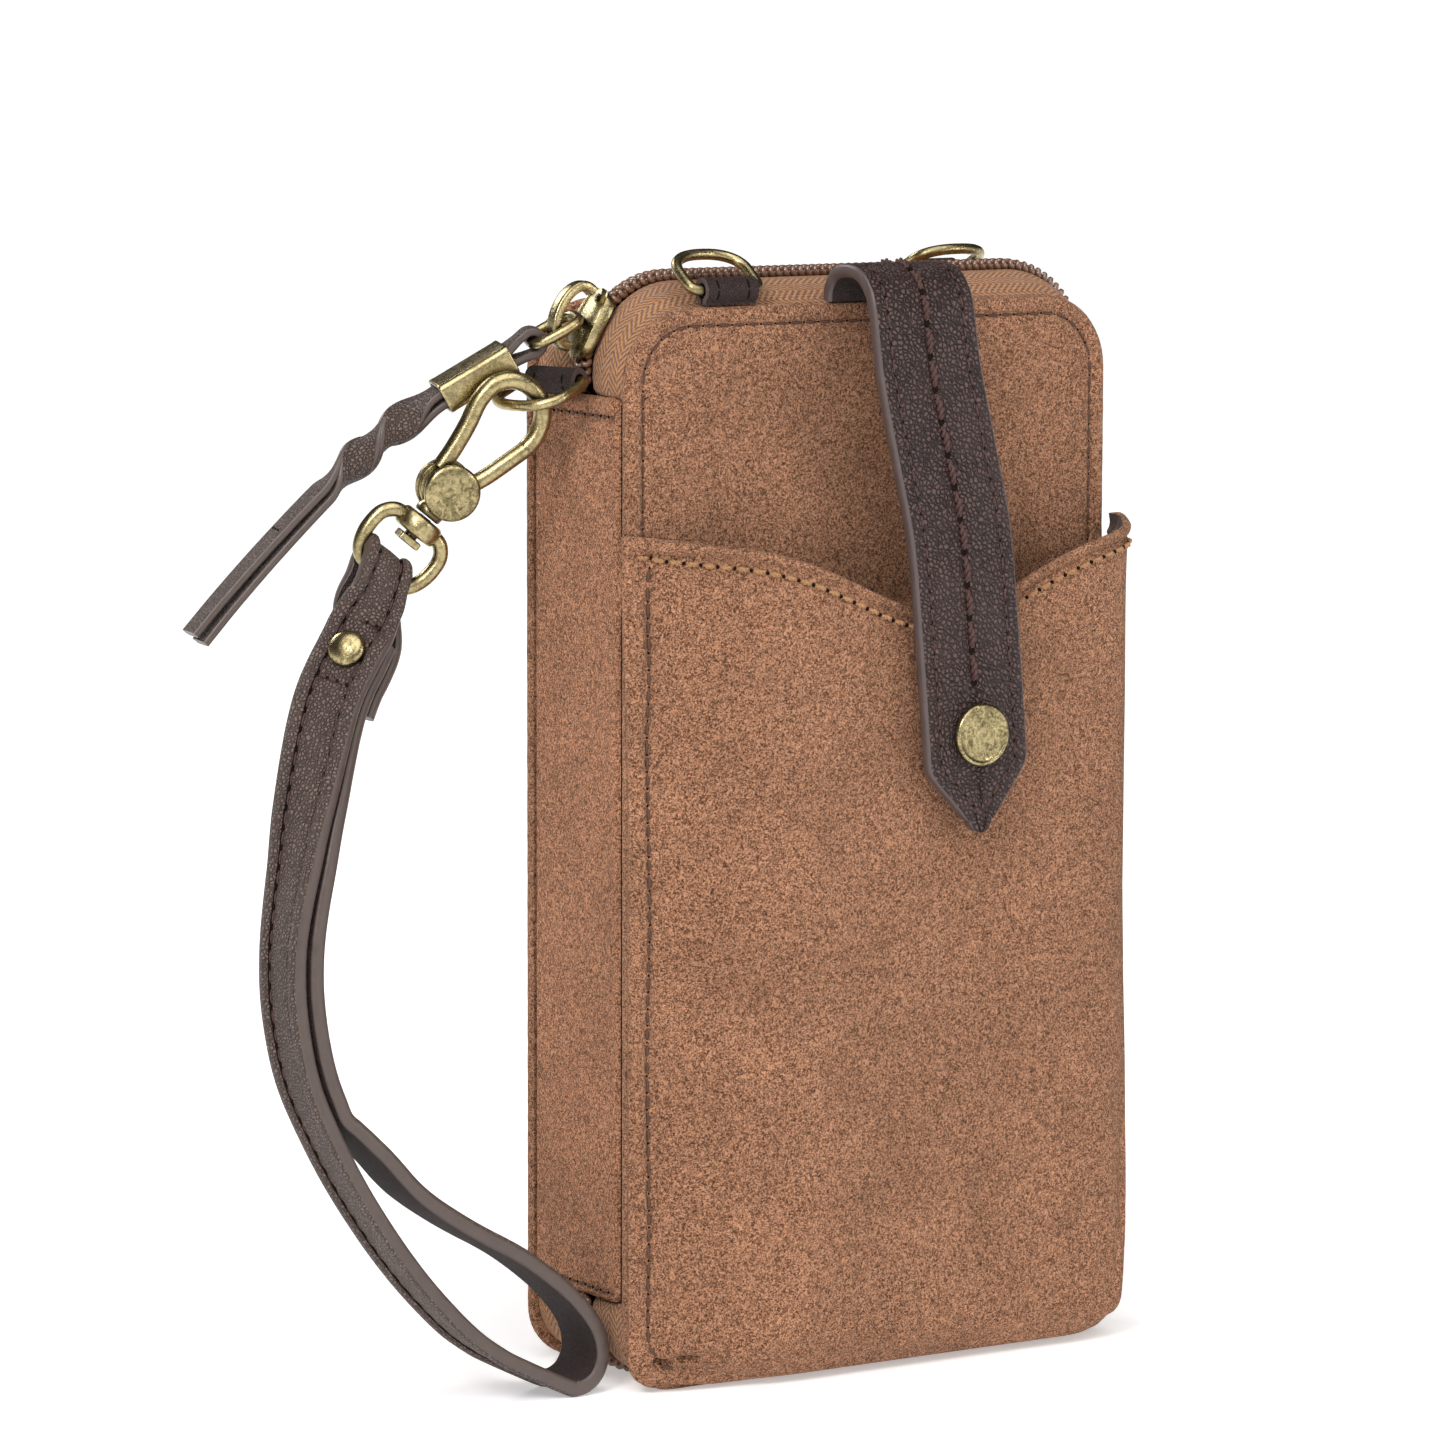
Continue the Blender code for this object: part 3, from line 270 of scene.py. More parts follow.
# Colours, linear
SUEDE_TINT = (0.955, 0.945, 0.935)
SPINE_TINT = (1.06, 0.98, 0.925)
SUEDE_LIGHT = (0.64, 0.330, 0.190)
SUEDE_MEAN = (0.300, 0.133, 0.072)
SUEDE_DARK = (0.070, 0.026, 0.013)
DARK_LEATHER = (0.066, 0.038, 0.034)
GREY_LEATHER = (0.140, 0.097, 0.082)
DARK_PAINT = (0.088, 0.062, 0.058)
GREY_PAINT = (0.086, 0.060, 0.051)
BRASS_LIGHT = (0.455, 0.372, 0.19)
BRASS_DARK = (0.225, 0.176, 0.088)
BRASS_SPOT = (0.105, 0.082, 0.039)
BRASS_SCRATCH = (0.54, 0.47, 0.29)
# Patina and painted shade in the brass's hollows
BRASS_HOLLOW_SHADE = (0.055, 0.042, 0.02)
TAPE_LIGHT = (0.62, 0.28, 0.105)
TAPE_DARK = (0.165, 0.062, 0.023)
COIL_BROWN = (0.215, 0.104, 0.058)
GOLD_THREAD = (0.50, 0.26, 0.11)
RED_THREAD = (0.090, 0.035, 0.028)
BROWN_THREAD = (0.115, 0.048, 0.026)
LINING_BROWN = (0.070, 0.042, 0.030)
HOLE_DARK = (0.006, 0.004, 0.003)
HOLE_LIGHT = (0.02, 0.011, 0.008)
PAPER_DARK = (0.90, 0.90, 0.90)
PAPER_LIGHT = (0.93, 0.93, 0.93)
WHITE = (1.0, 1.0, 1.0)


class Finish:
    """A material under construction: short calls add nodes and wire them to its shader."""

    def __init__(self, name):
        self.material = bpy.data.materials.new(name)
        self.material.use_nodes = True
        self.tree = self.material.node_tree
        self.shader = self.tree.nodes["Principled BSDF"]
        coordinates = self.add("ShaderNodeTexCoord")
        self.place = coordinates.outputs["Object"]
        self.uv = coordinates.outputs["UV"]

    def add(self, kind, **settings):
        """A new node of a kind, with its settings."""
        made = self.tree.nodes.new(kind)
        for key, value in settings.items():
            setattr(made, key, value)
        return made

    def put(self, socket, value):
        """Wire a socket to another one, or give it a value."""
        if isinstance(value, bpy.types.NodeSocket):
            self.tree.links.new(value, socket)
        else:
            socket.default_value = value

    def noise(self, size, detail=2.0, roughness=0.5, distortion=0.0, place=None):
        """Random value whose features are about so many millimetres across."""
        made = self.add("ShaderNodeTexNoise")
        self.put(made.inputs["Vector"], place or self.place)
        made.inputs["Scale"].default_value = 1.0 / (size * MM)
        made.inputs["Detail"].default_value = detail
        made.inputs["Roughness"].default_value = roughness
        made.inputs["Distortion"].default_value = distortion
        return made.outputs[0]

    def creases(self, size):
        """Distance to the nearest edge between random cells about so many millimetres across."""
        made = self.add("ShaderNodeTexVoronoi", feature='DISTANCE_TO_EDGE')
        self.put(made.inputs["Vector"], self.place)
        made.inputs["Scale"].default_value = 1.0 / (size * MM)
        return made.outputs["Distance"]

    def stretched(self, scales):
        """Object coordinates stretched by a factor along each axis."""
        made = self.add("ShaderNodeMapping")
        self.put(made.inputs["Vector"], self.place)
        made.inputs["Scale"].default_value = scales
        return made.outputs[0]

    def math(self, operation, a, b=0.0):
        """One step of arithmetic."""
        made = self.add("ShaderNodeMath", operation=operation)
        self.put(made.inputs[0], a)
        self.put(made.inputs[1], b)
        return made.outputs[0]

    def weighted(self, a, part_a, b, part_b):
        """The sum of two values, each times its part."""
        return self.math('ADD', self.math('MULTIPLY', a, part_a),
                         self.math('MULTIPLY', b, part_b))

    def ramp(self, value, *stops):
        """Colours between the given positions of a value."""
        made = self.add("ShaderNodeValToRGB")
        self.put(made.inputs[0], value)
        points = made.color_ramp.elements
        while len(points) < len(stops):
            points.new(0.5)
        for point, (position, colour) in zip(points, stops):
            point.position = position
            point.color = (*colour, 1.0)
        return made.outputs[0]

    def level(self, value, low, high, start=0.0, end=1.0):
        """Map low..high to start..end, and stop there."""
        made = self.add("ShaderNodeMapRange", clamp=True)
        for socket, number in zip(made.inputs, (value, low, high, start, end)):
            self.put(socket, number)
        return made.outputs[0]

    def mix(self, share, a, b, blend='MIX'):
        """Blend from one colour to another by a share."""
        made = self.add("ShaderNodeMix", data_type='RGBA', blend_type=blend)
        self.put(made.inputs[0], share)
        for socket, value in ((made.inputs[6], a), (made.inputs[7], b)):
            self.put(socket, (*value, 1.0) if isinstance(value, tuple) else value)
        return made.outputs[2]

    def bump(self, height, depth, under=None):
        """Relief so many millimetres deep."""
        made = self.add("ShaderNodeBump")
        made.inputs["Distance"].default_value = depth * MM
        self.put(made.inputs["Height"], height)
        if under:
            self.put(made.inputs["Normal"], under)
        return made.outputs[0]

    def done(self, **values):
        """Wire values to the shader's inputs; an underscore in a name stands for a space."""
        for key, value in values.items():
            socket = self.shader.inputs[key.replace("_", " ")]
            if isinstance(value, tuple) and len(value) == 3:
                value = (*value, 1.0)
            self.put(socket, value)
        return self.material


def scaled(colour, factor):
    """A colour made brighter or darker."""
    return tuple(factor * channel for channel in colour)


def suede_material(name, tones, spread):
    """Short curly nap: light fibre tips over darker roots, in soft brushed patches.

    tones scales red, green and blue, and spread is the fibres' range of brightness.
    """
    made = Finish(name)
    nap = made.noise(0.62, 3.0, 0.66, 2.2)
    curl = made.noise(0.34, 2.0, 0.5, 1.6)
    fibre = made.weighted(nap, 0.6, curl, 0.4)
    patch = made.noise(15.0, 3.0, 0.55, 0.4)
    colour = made.ramp(fibre, (0.5 - spread, SUEDE_DARK), (0.50, SUEDE_MEAN),
                       (0.5 + 0.9 * spread, SUEDE_LIGHT))
    hair = made.noise(1.5, 1.0, 0.5, 7.0)
    thin = made.math('ABSOLUTE', made.math('SUBTRACT', hair, 0.5))
    colour = made.mix(made.level(thin, 0.004, 0.018, 0.7, 0.0), colour, SUEDE_LIGHT)
    tint = made.add("ShaderNodeCombineColor")
    for channel, tone in zip(("Red", "Green", "Blue"), tones):
        made.put(tint.inputs[channel], made.level(patch, 0.3, 0.7, 0.88 * tone, 1.12 * tone))
    colour = made.mix(1.0, colour, tint.outputs[0], 'MULTIPLY')
    relief = made.bump(fibre, 0.9, made.bump(patch, 0.5))
    return made.done(Base_Color=colour, Roughness=0.95, Normal=relief, Specular_IOR_Level=0.12,
                     Sheen_Weight=0.15, Sheen_Roughness=0.45, Sheen_Tint=(1.0, 0.78, 0.6))


def leather_material(name, colour, pebble, gloss, contrast):
    """Full-grain leather: pebbles parted by fine creases, crests painted lighter as highlights and
    creases darker as shade over the grain's own tone, with lighter worn patches.
    """
    made = Finish(name)
    crease = made.creases(pebble)
    grain = made.noise(0.5 * pebble, 3.0, 0.6, 0.6)
    cloud = made.noise(9.0, 3.0, 0.6)
    height = made.math('ADD', made.level(crease, 0.0, 0.22), made.math('MULTIPLY', grain, 0.7))
    # light is the painted highlight on the crests and also the worn patches' colour; dark is the
    # painted shade in the creases
    light = scaled(colour, 1.0 + contrast)
    dark = scaled(colour, 1.0 - contrast)
    base = made.ramp(made.math('MULTIPLY', height, 0.6), (0.2, dark), (0.62, colour), (0.9, light))
    worn = made.mix(made.level(cloud, 0.45, 0.75, 0.0, 0.35), base, light)
    roughness = made.level(grain, 0.3, 0.7, gloss + 0.16, gloss)
    relief = made.bump(height, 0.55, made.bump(cloud, 0.5))
    return made.done(Base_Color=worn, Roughness=roughness, Normal=relief, Specular_IOR_Level=0.38)


def paint_material(name, colour):
    """Smooth painted leather edge, faintly uneven along its run."""
    made = Finish(name)
    ripple = made.noise(2.2, 3.0, 0.55)
    shade = made.ramp(ripple, (0.3, scaled(colour, 0.82)), (0.7, colour))
    return made.done(Base_Color=shade, Roughness=made.level(ripple, 0.3, 0.7, 0.34, 0.48),
                     Normal=made.bump(ripple, 0.12))


def brass_material(name, dark):
    """Antique brass: warm patina in mottled patches, fine random scratches, bright worn spots, and
    patina with painted shade in its hollows.
    """
    made = Finish(name)
    mottle = made.noise(0.8, 5.0, 0.68, 0.8)
    broad = made.noise(4.5, 3.0, 0.6)
    scratch = made.noise(0.5, 2.0, 0.5, 2.0, made.stretched((0.35, 1.0, 3.0)))
    stain = made.weighted(mottle, 0.6, broad, 0.4)
    colour = made.mix(made.level(stain, 0.40, 0.56), dark, BRASS_LIGHT)
    colour = made.mix(made.level(scratch, 0.58, 0.68, 0.0, 0.3), colour, BRASS_SCRATCH)
    roughness = made.level(stain, 0.40, 0.56, 0.36, 0.21)
    # Patina and painted shade: the colour darkens towards BRASS_HOLLOW_SHADE where ambient occlusion
    # finds a hollow.
    hollow_shade = made.add("ShaderNodeAmbientOcclusion", samples=8)
    hollow_shade.inputs["Distance"].default_value = 1.6 * MM
    shaded = made.level(hollow_shade.outputs["AO"], 0.35, 0.95)
    colour = made.mix(shaded, BRASS_HOLLOW_SHADE, colour)
    relief = made.bump(scratch, 0.025, made.bump(mottle, 0.018))
    return made.done(Base_Color=colour, Metallic=1.0, Roughness=roughness, Normal=relief)


def tape_material():
    """Herringbone woven tape; its UV is the place along and across the tape in millimetres."""
    made = Finish("zip_tape_weave")
    split = made.add("ShaderNodeSeparateXYZ")
    made.put(split.inputs[0], made.uv)
    slant = made.math('PINGPONG', split.outputs[1], 2.6)
    run = made.math('DIVIDE', made.math('ADD', split.outputs[0], slant), 1.2)
    rib = made.math('PINGPONG', run, 0.5)
    yarn = made.math('PINGPONG', made.math('DIVIDE', split.outputs[1], 0.8), 0.5)
    height = made.weighted(rib, 1.4, yarn, 0.6)
    fuzz = made.noise(0.38, 3.0, 0.6, 0.5)
    value = made.weighted(height, 0.7, fuzz, 0.84)
    colour = made.ramp(value, (0.55, TAPE_DARK), (1.0, TAPE_LIGHT))
    return made.done(Base_Color=colour, Roughness=0.8, Normal=made.bump(value, 0.7),
                     Specular_IOR_Level=0.25, Sheen_Weight=0.2)


def coil_material():
    """Glossy dyed nylon, a little cloudy."""
    made = Finish("zip_coil_nylon")
    cloud = made.noise(0.9, 2.0)
    colour = made.ramp(cloud, (0.3, scaled(COIL_BROWN, 0.55)), (0.7, COIL_BROWN))
    return made.done(Base_Color=colour, Roughness=made.level(cloud, 0.3, 0.7, 0.14, 0.26),
                     Specular_IOR_Level=0.7, Coat_Weight=0.5, Coat_Roughness=0.1)


def thread_material(name, colour):
    """Waxed sewing thread with a fine twist."""
    made = Finish(name)
    ply = made.noise(0.18, 2.0, 0.5, 0.5)
    shade = made.ramp(ply, (0.3, scaled(colour, 0.45)), (0.7, colour))
    return made.done(Base_Color=shade, Roughness=0.6, Normal=made.bump(ply, 0.12))


def lining_material():
    """Plain woven lining cloth."""
    made = Finish("lining_weave")
    split = made.add("ShaderNodeSeparateXYZ")
    made.put(split.inputs[0], made.place)
    threads = []
    for axis, pitch in ((0, 0.45), (2, 0.4)):
        turns = made.math('DIVIDE', split.outputs[axis], pitch * MM)
        threads.append(made.math('PINGPONG', turns, 0.5))
    weave = made.math('MAXIMUM', *threads)
    slub = made.noise(1.3, 3.0, 0.6, 0.0, made.stretched((0.2, 1.0, 1.0)))
    value = made.math('ADD', weave, made.math('MULTIPLY', slub, 0.5))
    colour = made.ramp(value, (0.3, scaled(LINING_BROWN, 0.5)), (0.9, LINING_BROWN))
    return made.done(Base_Color=colour, Roughness=0.75, Normal=made.bump(value, 0.15),
                     Sheen_Weight=0.15)


def hole_shade_material():
    """Near-black painted shade: the shadowed bottom of a needle hole; it also paints the crease down
    the spine's front edge and the wrist strap's sewn grooves, and colours a few small dark stitches.
    """
    made = Finish("needle_hole_shade")
    fibre = made.noise(0.3, 2.0)
    colour = made.ramp(fibre, (0.3, HOLE_DARK), (0.8, HOLE_LIGHT))
    return made.done(Base_Color=colour, Roughness=0.95, Specular_IOR_Level=0.05)


def floor_material():
    """Pale seamless paper."""
    made = Finish("floor_paper")
    grain = made.noise(3.0, 3.0)
    colour = made.ramp(grain, (0.2, PAPER_DARK), (0.8, PAPER_LIGHT))
    return made.done(Base_Color=colour, Roughness=1.0, Specular_IOR_Level=0.0,
                     Emission_Color=WHITE, Emission_Strength=0.38)


def make_materials():
    """Every finish, by a short name."""
    return {
        "suede": suede_material("suede_nap", SUEDE_TINT, 0.06),
        "spine_suede": suede_material("suede_nap_side", SPINE_TINT, 0.047),
        "dark": leather_material("dark_leather_grain", DARK_LEATHER, 0.75, 0.36, 0.75),
        "rough": leather_material("dark_leather_back", scaled(DARK_LEATHER, 0.8), 0.4, 0.7, 0.3),
        "grey": leather_material("grey_leather_grain", GREY_LEATHER, 0.6, 0.45, 0.42),
        "dark_paint": paint_material("dark_leather_edge", DARK_PAINT),
        "grey_paint": paint_material("grey_leather_edge", GREY_PAINT),
        "brass": brass_material("antique_brass_smooth", BRASS_DARK),
        "brass_face": brass_material("antique_brass_face", BRASS_SPOT),
        "tape": tape_material(),
        "coil": coil_material(),
        "gold_thread": thread_material("gold_thread", GOLD_THREAD),
        "red_thread": thread_material("red_brown_thread", RED_THREAD),
        "brown_thread": thread_material("brown_thread", BROWN_THREAD),
        "lining": lining_material(),
        "hole": hole_shade_material(),
    }


class Shape:
    """Points in millimetres and their faces, gathered before they become one mesh."""

    def __init__(self):
        self.points = []
        self.faces = []
        self.kinds = []

    def loft(self, rings, closed=False, kinds=0, cap_kind=None, caps=True):
        """Skin a row of rings; kinds gives the material of each strip between two points."""
        count = len(rings[0])
        first = len(self.points)
        for ring in rings:
            self.points.extend(ring)
        if isinstance(kinds, int):
            kinds = [kinds] * count
        spans = len(rings) if closed else len(rings) - 1
        for i in range(spans):
            here = first + i * count
            there = first + ((i + 1) % len(rings)) * count
            for j in range(count):
                k = (j + 1) % count
                self.faces.append((here + j, here + k, there + k, there + j))
                self.kinds.append(kinds[j])
        if not closed and caps:
            last = first + (len(rings) - 1) * count
            self.faces.append(tuple(range(first + count - 1, first - 1, -1)))
            self.faces.append(tuple(range(last, last + count)))
            end = kinds[0] if cap_kind is None else cap_kind
            self.kinds.extend((end, end))

    def bridge(self, first, count, fold):
        """Close a ring across its middle with strips between the points that mirror each other."""
        start = (fold + 1) // 2
        for i in range(start, start + count // 2):
            quad = [i % count, (i + 1) % count, (fold - i - 1) % count, (fold - i) % count]
            face = [first + n for k, n in enumerate(quad) if n not in quad[:k]]
            if len(face) > 2:
                self.faces.append(tuple(face))
                self.kinds.append(0)

    def build(self, name, materials, angle=40.0):
        """The finished object, smooth but for edges sharper than the angle."""
        mesh = bpy.data.meshes.new(name)
        mesh.from_pydata([Vector(point) * MM for point in self.points], [], self.faces)
        for material in materials:
            mesh.materials.append(material)
        mesh.polygons.foreach_set("material_index", self.kinds)
        work = bmesh.new()
        work.from_mesh(mesh)
        bmesh.ops.recalc_face_normals(work, faces=work.faces)
        work.to_mesh(mesh)
        work.free()
        mesh.shade_smooth()
        mesh.set_sharp_from_angle(angle=math.radians(angle))
        thing = bpy.data.objects.new(name, mesh)
        bpy.context.scene.collection.objects.link(thing)
        return thing


def smooth(points, steps):
    """A Catmull-Rom curve through the points, with so many steps between two of them."""
    points = [Vector(p) for p in points]
    padded = [2 * points[0] - points[1]] + points + [2 * points[-1] - points[-2]]
    curve = []
    for i in range(1, len(padded) - 2):
        p0, p1, p2, p3 = padded[i - 1:i + 3]
        for k in range(steps):
            t = k / steps
            curve.append(0.5 * (2 * p1 + (p2 - p0) * t + (2 * p0 - 5 * p1 + 4 * p2 - p3) * t * t
                                + (3 * p1 - p0 - 3 * p2 + p3) * t ** 3))
    curve.append(points[-1])
    return curve


def tangents(path, closed=False):
    """Unit direction at each point of a path."""
    count = len(path)
    result = []
    for i in range(count):
        before = path[(i - 1) % count] if closed or i > 0 else path[0]
        after = path[(i + 1) % count] if closed or i < count - 1 else path[-1]
        result.append((after - before).normalized())
    return result


def crosswise(direction, run):
    """The unit direction nearest to the given one that is square to a run."""
    return (direction - run * direction.dot(run)).normalized()


def eased(value, low, high):
    """0 below low, 1 above high, and an S curve between them."""
    share = min(max((value - low) / (high - low), 0.0), 1.0)
    return share * share * (3.0 - 2.0 * share)


def dent(distance, width):
    """A smooth bell of height 1 round zero."""
    return math.exp(-(distance / width) ** 2)


def bulged(value, power):
    """A value from -1 to 1 pushed outwards; it squares off a circle's sine and cosine."""
    return math.copysign(abs(value) ** power, value)


def even_turns(count):
    """Angles at even steps round a circle."""
    return [2 * math.pi * n / count for n in range(count)]


def ring_at(centre, across, up, section):
    """The points of a flat section placed round a centre."""
    return [centre + across * u + up * v for u, v in section]


def ripple(x, y, z, size):
    """Smooth random value from -1 to 1, with features so many millimetres across."""
    return noise.noise(Vector((x, y, z)) / size)


def add_tube(shape, path, radius, side, closed=False, sides=16, kind=0, step=None):
    """A round wire along a path; step shears its last end for a stepped joint."""
    side = Vector(side)
    rings = []
    for point, along in zip(path, tangents(path, closed)):
        across = crosswise(side, along)
        up = along.cross(across)
        ring = []
        for k in range(sides):
            angle = 2 * math.pi * (k + 0.5) / sides
            ring.append(point + across * radius * math.cos(angle) + up * radius * math.sin(angle))
        rings.append(ring)
    if step:
        along = tangents(path, closed)[-1]
        across = crosswise(side, along)
        centre = path[-1]
        rings.append([p + along * step * (1 if (p - centre).dot(across) > 0 else -1)
                      for p in rings[-1]])
    shape.loft(rings, closed, kind)


def spokes_round(axis, sides):
    """Unit directions at even steps round an axis."""
    across = axis.orthogonal().normalized()
    other = axis.cross(across)
    return [across * math.cos(turn) + other * math.sin(turn) for turn in even_turns(sides)]


def add_lathe(shape, profile, centre, axis, sides=56):
    """Turn (radius, height) pairs about an axis."""
    axis = Vector(axis).normalized()
    centre = Vector(centre)
    spokes = spokes_round(axis, sides)
    shape.loft([[centre + axis * height + out * radius for out in spokes]
                for radius, height in profile])


def settle(thing, body, slot, *nodes):
    """Hang a finished piece on its body and hide the CAD nodes that it stands for."""
    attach(thing, body)
    if nodes:
        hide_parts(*nodes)


def settle_stitching(shape, name, thread, body, slot, materials):
    """Hang a row of stitches and its needle holes on a body."""
    settle(shape.build(name, [materials[thread], materials["hole"]]), body, slot)


def settle_brass(shape, node, body, materials, finish="brass", angle=45.0, ending="_brass"):
    """Hang a brass piece that stands for one CAD node, and is named after it."""
    settle(shape.build(node + ending, [materials[finish]], angle), body, "antique_brass", node)


def along_line(points, outs, pitch, offset=0.0):
    """Places at equal steps along a line on a surface, with its outward direction and run."""
    places = []
    wanted = offset
    travelled = 0.0
    for p, q, m, n in zip(points, points[1:], outs, outs[1:]):
        length = (q - p).length
        while length > 0.0 and wanted <= travelled + length:
            t = (wanted - travelled) / length
            places.append((p.lerp(q, t), m.lerp(n, t).normalized(), (q - p) / length))
            wanted += pitch
        travelled += length
    return places


def add_stitch(shape, centre, out, run, length, radius, sink):
    """One stitch of thread: a short roll that dips into its needle holes at both ends."""
    across = out.cross(run).normalized()
    rings = []
    for k in range(7):
        share = k / 6
        swell = math.sin(math.pi * (0.1 + 0.8 * share)) ** 0.6
        middle = centre + run * length * (share - 0.5) + out * (radius * (swell - 0.6) - sink)
        rings.append([middle + (across * math.cos(turn) + out * math.sin(turn)) * radius * swell
                      for turn in even_turns(7)])
    shape.loft(rings)


def add_hole(shape, centre, out, run, radius):
    """A needle hole: a flat lens just proud of the surface, in the second material, whose near-black
    colour is painted shade.
    """
    across = out.cross(run).normalized()
    rings = []
    for reach, rise in ((1.0, -0.25), (1.0, 0.03), (0.55, 0.06)):
        rings.append([centre + out * rise + (run * 0.9 * math.cos(turn) + across * math.sin(turn))
                      * radius * reach for turn in even_turns(9)])
    shape.loft(rings, kinds=1)


def sew(shape, points, outs, pitch=SEAM_PITCH, share=STITCH_SHARE, radius=THREAD_RADIUS,
        sink=0.0, hole=HOLE_RADIUS):
    """A row of stitches along a line on a surface, with needle holes between them."""
    for centre, out, run in along_line(points, outs, pitch, 0.5 * pitch):
        add_stitch(shape, centre, out, run, pitch * share, radius, sink)
        add_hole(shape, centre + run * 0.5 * pitch, out, run, hole)


def add_twist(shape, path, outs, strand, coil, turn_length):
    """One stitch of two-ply cord: two strands wound round each other, ends pulled down."""
    count = len(path)
    runs = tangents(path)
    for phase in (0.0, math.pi):
        rings = []
        travelled = 0.0
        for n, (point, out, run) in enumerate(zip(path, outs, runs)):
            if n:
                travelled += (path[n] - path[n - 1]).length
            across = out.cross(run).normalized()
            share = n / (count - 1)
            swell = math.sin(math.pi * (0.06 + 0.88 * share)) ** 0.5
            turn = 2 * math.pi * travelled / turn_length + phase
            middle = (point + across * coil * swell * math.cos(turn)
                      + out * (coil * swell * math.sin(turn) + 0.9 * (swell - 1.0)))
            rings.append([middle + (across * math.cos(a) + out * math.sin(a)) * strand * swell
                          for a in even_turns(7)])
        shape.loft(rings)


def rounded(x0, x1, z0, z1, foot, top, inset):
    """A rounded rectangle's closed outline moved inwards, with the same points at every inset."""
    rows = int((z1 - z0 - foot - top) / PLATE_STEP)
    columns = int((x1 - x0 - 2 * max(foot, top)) / PLATE_STEP)
    corners = []
    for x, z, radius, sx, sz, start in ((x0, z1, top, 1, -1, 180), (x1, z1, top, -1, -1, 90),
                                        (x1, z0, foot, -1, 1, 0), (x0, z0, foot, 1, 1, -90)):
        here = max(radius - inset, 0.3)
        cx = x + sx * (inset + here)
        cz = z + sz * (inset + here)
        corner = []
        for k in range(PLATE_ARC + 1):
            angle = math.radians(start - 90.0 * k / PLATE_ARC)
            corner.append((cx + here * math.cos(angle), cz + here * math.sin(angle)))
        corners.append(corner)
    outline = []
    for n, corner in enumerate(corners):
        following = corners[(n + 1) % 4]
        outline.extend(corner)
        steps = columns if n % 2 == 0 else rows
        (ax, az), (bx, bz) = corner[-1], following[0]
        for k in range(1, steps):
            outline.append((ax + (bx - ax) * k / steps, az + (bz - az) * k / steps))
    return outline


def add_plate(shape, bounds, profile, place):
    """A rounded panel of (inset, height) rows; place turns (u, w, height, inset) into a point."""
    rings = []
    for inset, height in profile:
        rings.append([place(u, w, height, inset) for u, w in rounded(*bounds, inset)])
    shape.loft(rings, caps=False)
    count = len(rings[0])
    x0, x1, _, _, foot, top = bounds
    fold = int((x1 - x0 - 2 * max(foot, top)) / PLATE_STEP) + 2 * PLATE_ARC
    last = len(shape.points) - count
    shape.bridge(last - (len(rings) - 1) * count, count, fold)
    shape.bridge(last, count, fold)


def cover_relief(u, w, inset):
    """How far a suede cover stands from flat: ragged rim, puckered seam and a soft middle."""
    away = abs(inset - SEAM_INSET)
    pucker = 0.09 * math.sin(2 * math.pi * (u + w) / SEAM_PITCH) * dent(away, 1.0)
    rim = 0.10 * ripple(u, w, 1.0, 1.1) * dent(inset, 1.6)
    soft = 0.5 * ripple(u, w, 5.0, 34.0) * eased(inset, 3.5, 14.0)
    return pucker + rim + soft


def build_cover(name, materials, body, node, seam, sign):
    """One suede cover and its row of stitches; sign points out of the wallet along Y."""
    bounds = (LEFT, RIGHT, 0.0, HEIGHT, FOOT_RADIUS, TOP_RADIUS)

    def place(u, w, height, inset):
        relief = cover_relief(u, w, inset) if height > 0.5 else 0.0
        return Vector((u, seam + sign * (height + relief), w))

    shape = Shape()
    add_plate(shape, bounds, COVER_PROFILE, place)
    settle(shape.build(name, [materials["suede"]]), body, "suede", node)
    seam_line = [Vector((u, seam + sign * 1.66, w)) for u, w in rounded(*bounds, SEAM_INSET)]
    seam_line.append(seam_line[0])
    thread = Shape()
    sew(thread, seam_line, [Vector((0, sign, 0))] * len(seam_line))
    settle_stitching(thread, name + "_stitching", "brown_thread", body, "suede", materials)


def build_spine(materials):
    """The suede strip down the wallet's side, hemmed at both ends."""
    reach = BACK_SEAM - GAP
    bounds = (-reach, reach, SPINE_FOOT, SPINE_TOP, SPINE_CORNER, SPINE_CORNER)

    def place(u, w, height, inset):
        x = LEFT + SPINE_THICKNESS
        if height > 0.4:
            hem = sum(0.2 * dent(w - z, 0.5) for z in SPINE_HEMS)
            roll = 0.35 * (dent(w - SPINE_TOP, 2.4) + dent(w - SPINE_FOOT, 1.5))
            soft = 0.45 * ripple(u, w, 9.0, 26.0) * eased(inset, 0.5, 8.0)
            rim = 0.12 * ripple(u, w, 2.0, 1.0) * dent(inset, 1.2)
            x -= height - hem + roll * min(1.0, height) + soft + rim
        return Vector((x, u, w))

    shape = Shape()
    profile = [(1.2, 0.0), (0.2, 0.0), (0.0, 0.1), (0.12, 0.35), (0.45, 0.7), (0.95, 1.0)]
    profile += [(0.95 + 0.42 * k, 1.2) for k in range(1, 31)]
    add_plate(shape, bounds, profile, place)
    settle(shape.build("spine_cover", [materials["spine_suede"]]), "back_half", "suede",
           "spine_panel")
    build_spine_stitching(reach, materials)


def build_spine_stitching(reach, materials):
    """The stitches of the spine's two hems, and a near-black tube down its front edge that paints
    the shadow in the crease there.
    """
    thread = Shape()
    for z in SPINE_HEMS:
        line = [Vector((LEFT - 0.05, -reach + 1.0 + k, z)) for k in range(int(2 * reach - 1))]
        sew(thread, line, [Vector((-1, 0, 0))] * len(line), pitch=2.4, share=0.5)
    # Painted shadow: a thin tube in the near-black hole finish lies in the crease at the spine's
    # front edge.
    crease = [Vector((LEFT + 0.45, -reach - 0.12, z)) for z in (SPINE_FOOT + 1, SPINE_TOP - 1)]
    add_tube(thread, crease, 0.25, (1, 0, 0), kind=1)
    settle_stitching(thread, "spine_stitching", "brown_thread", "back_half", "suede", materials)


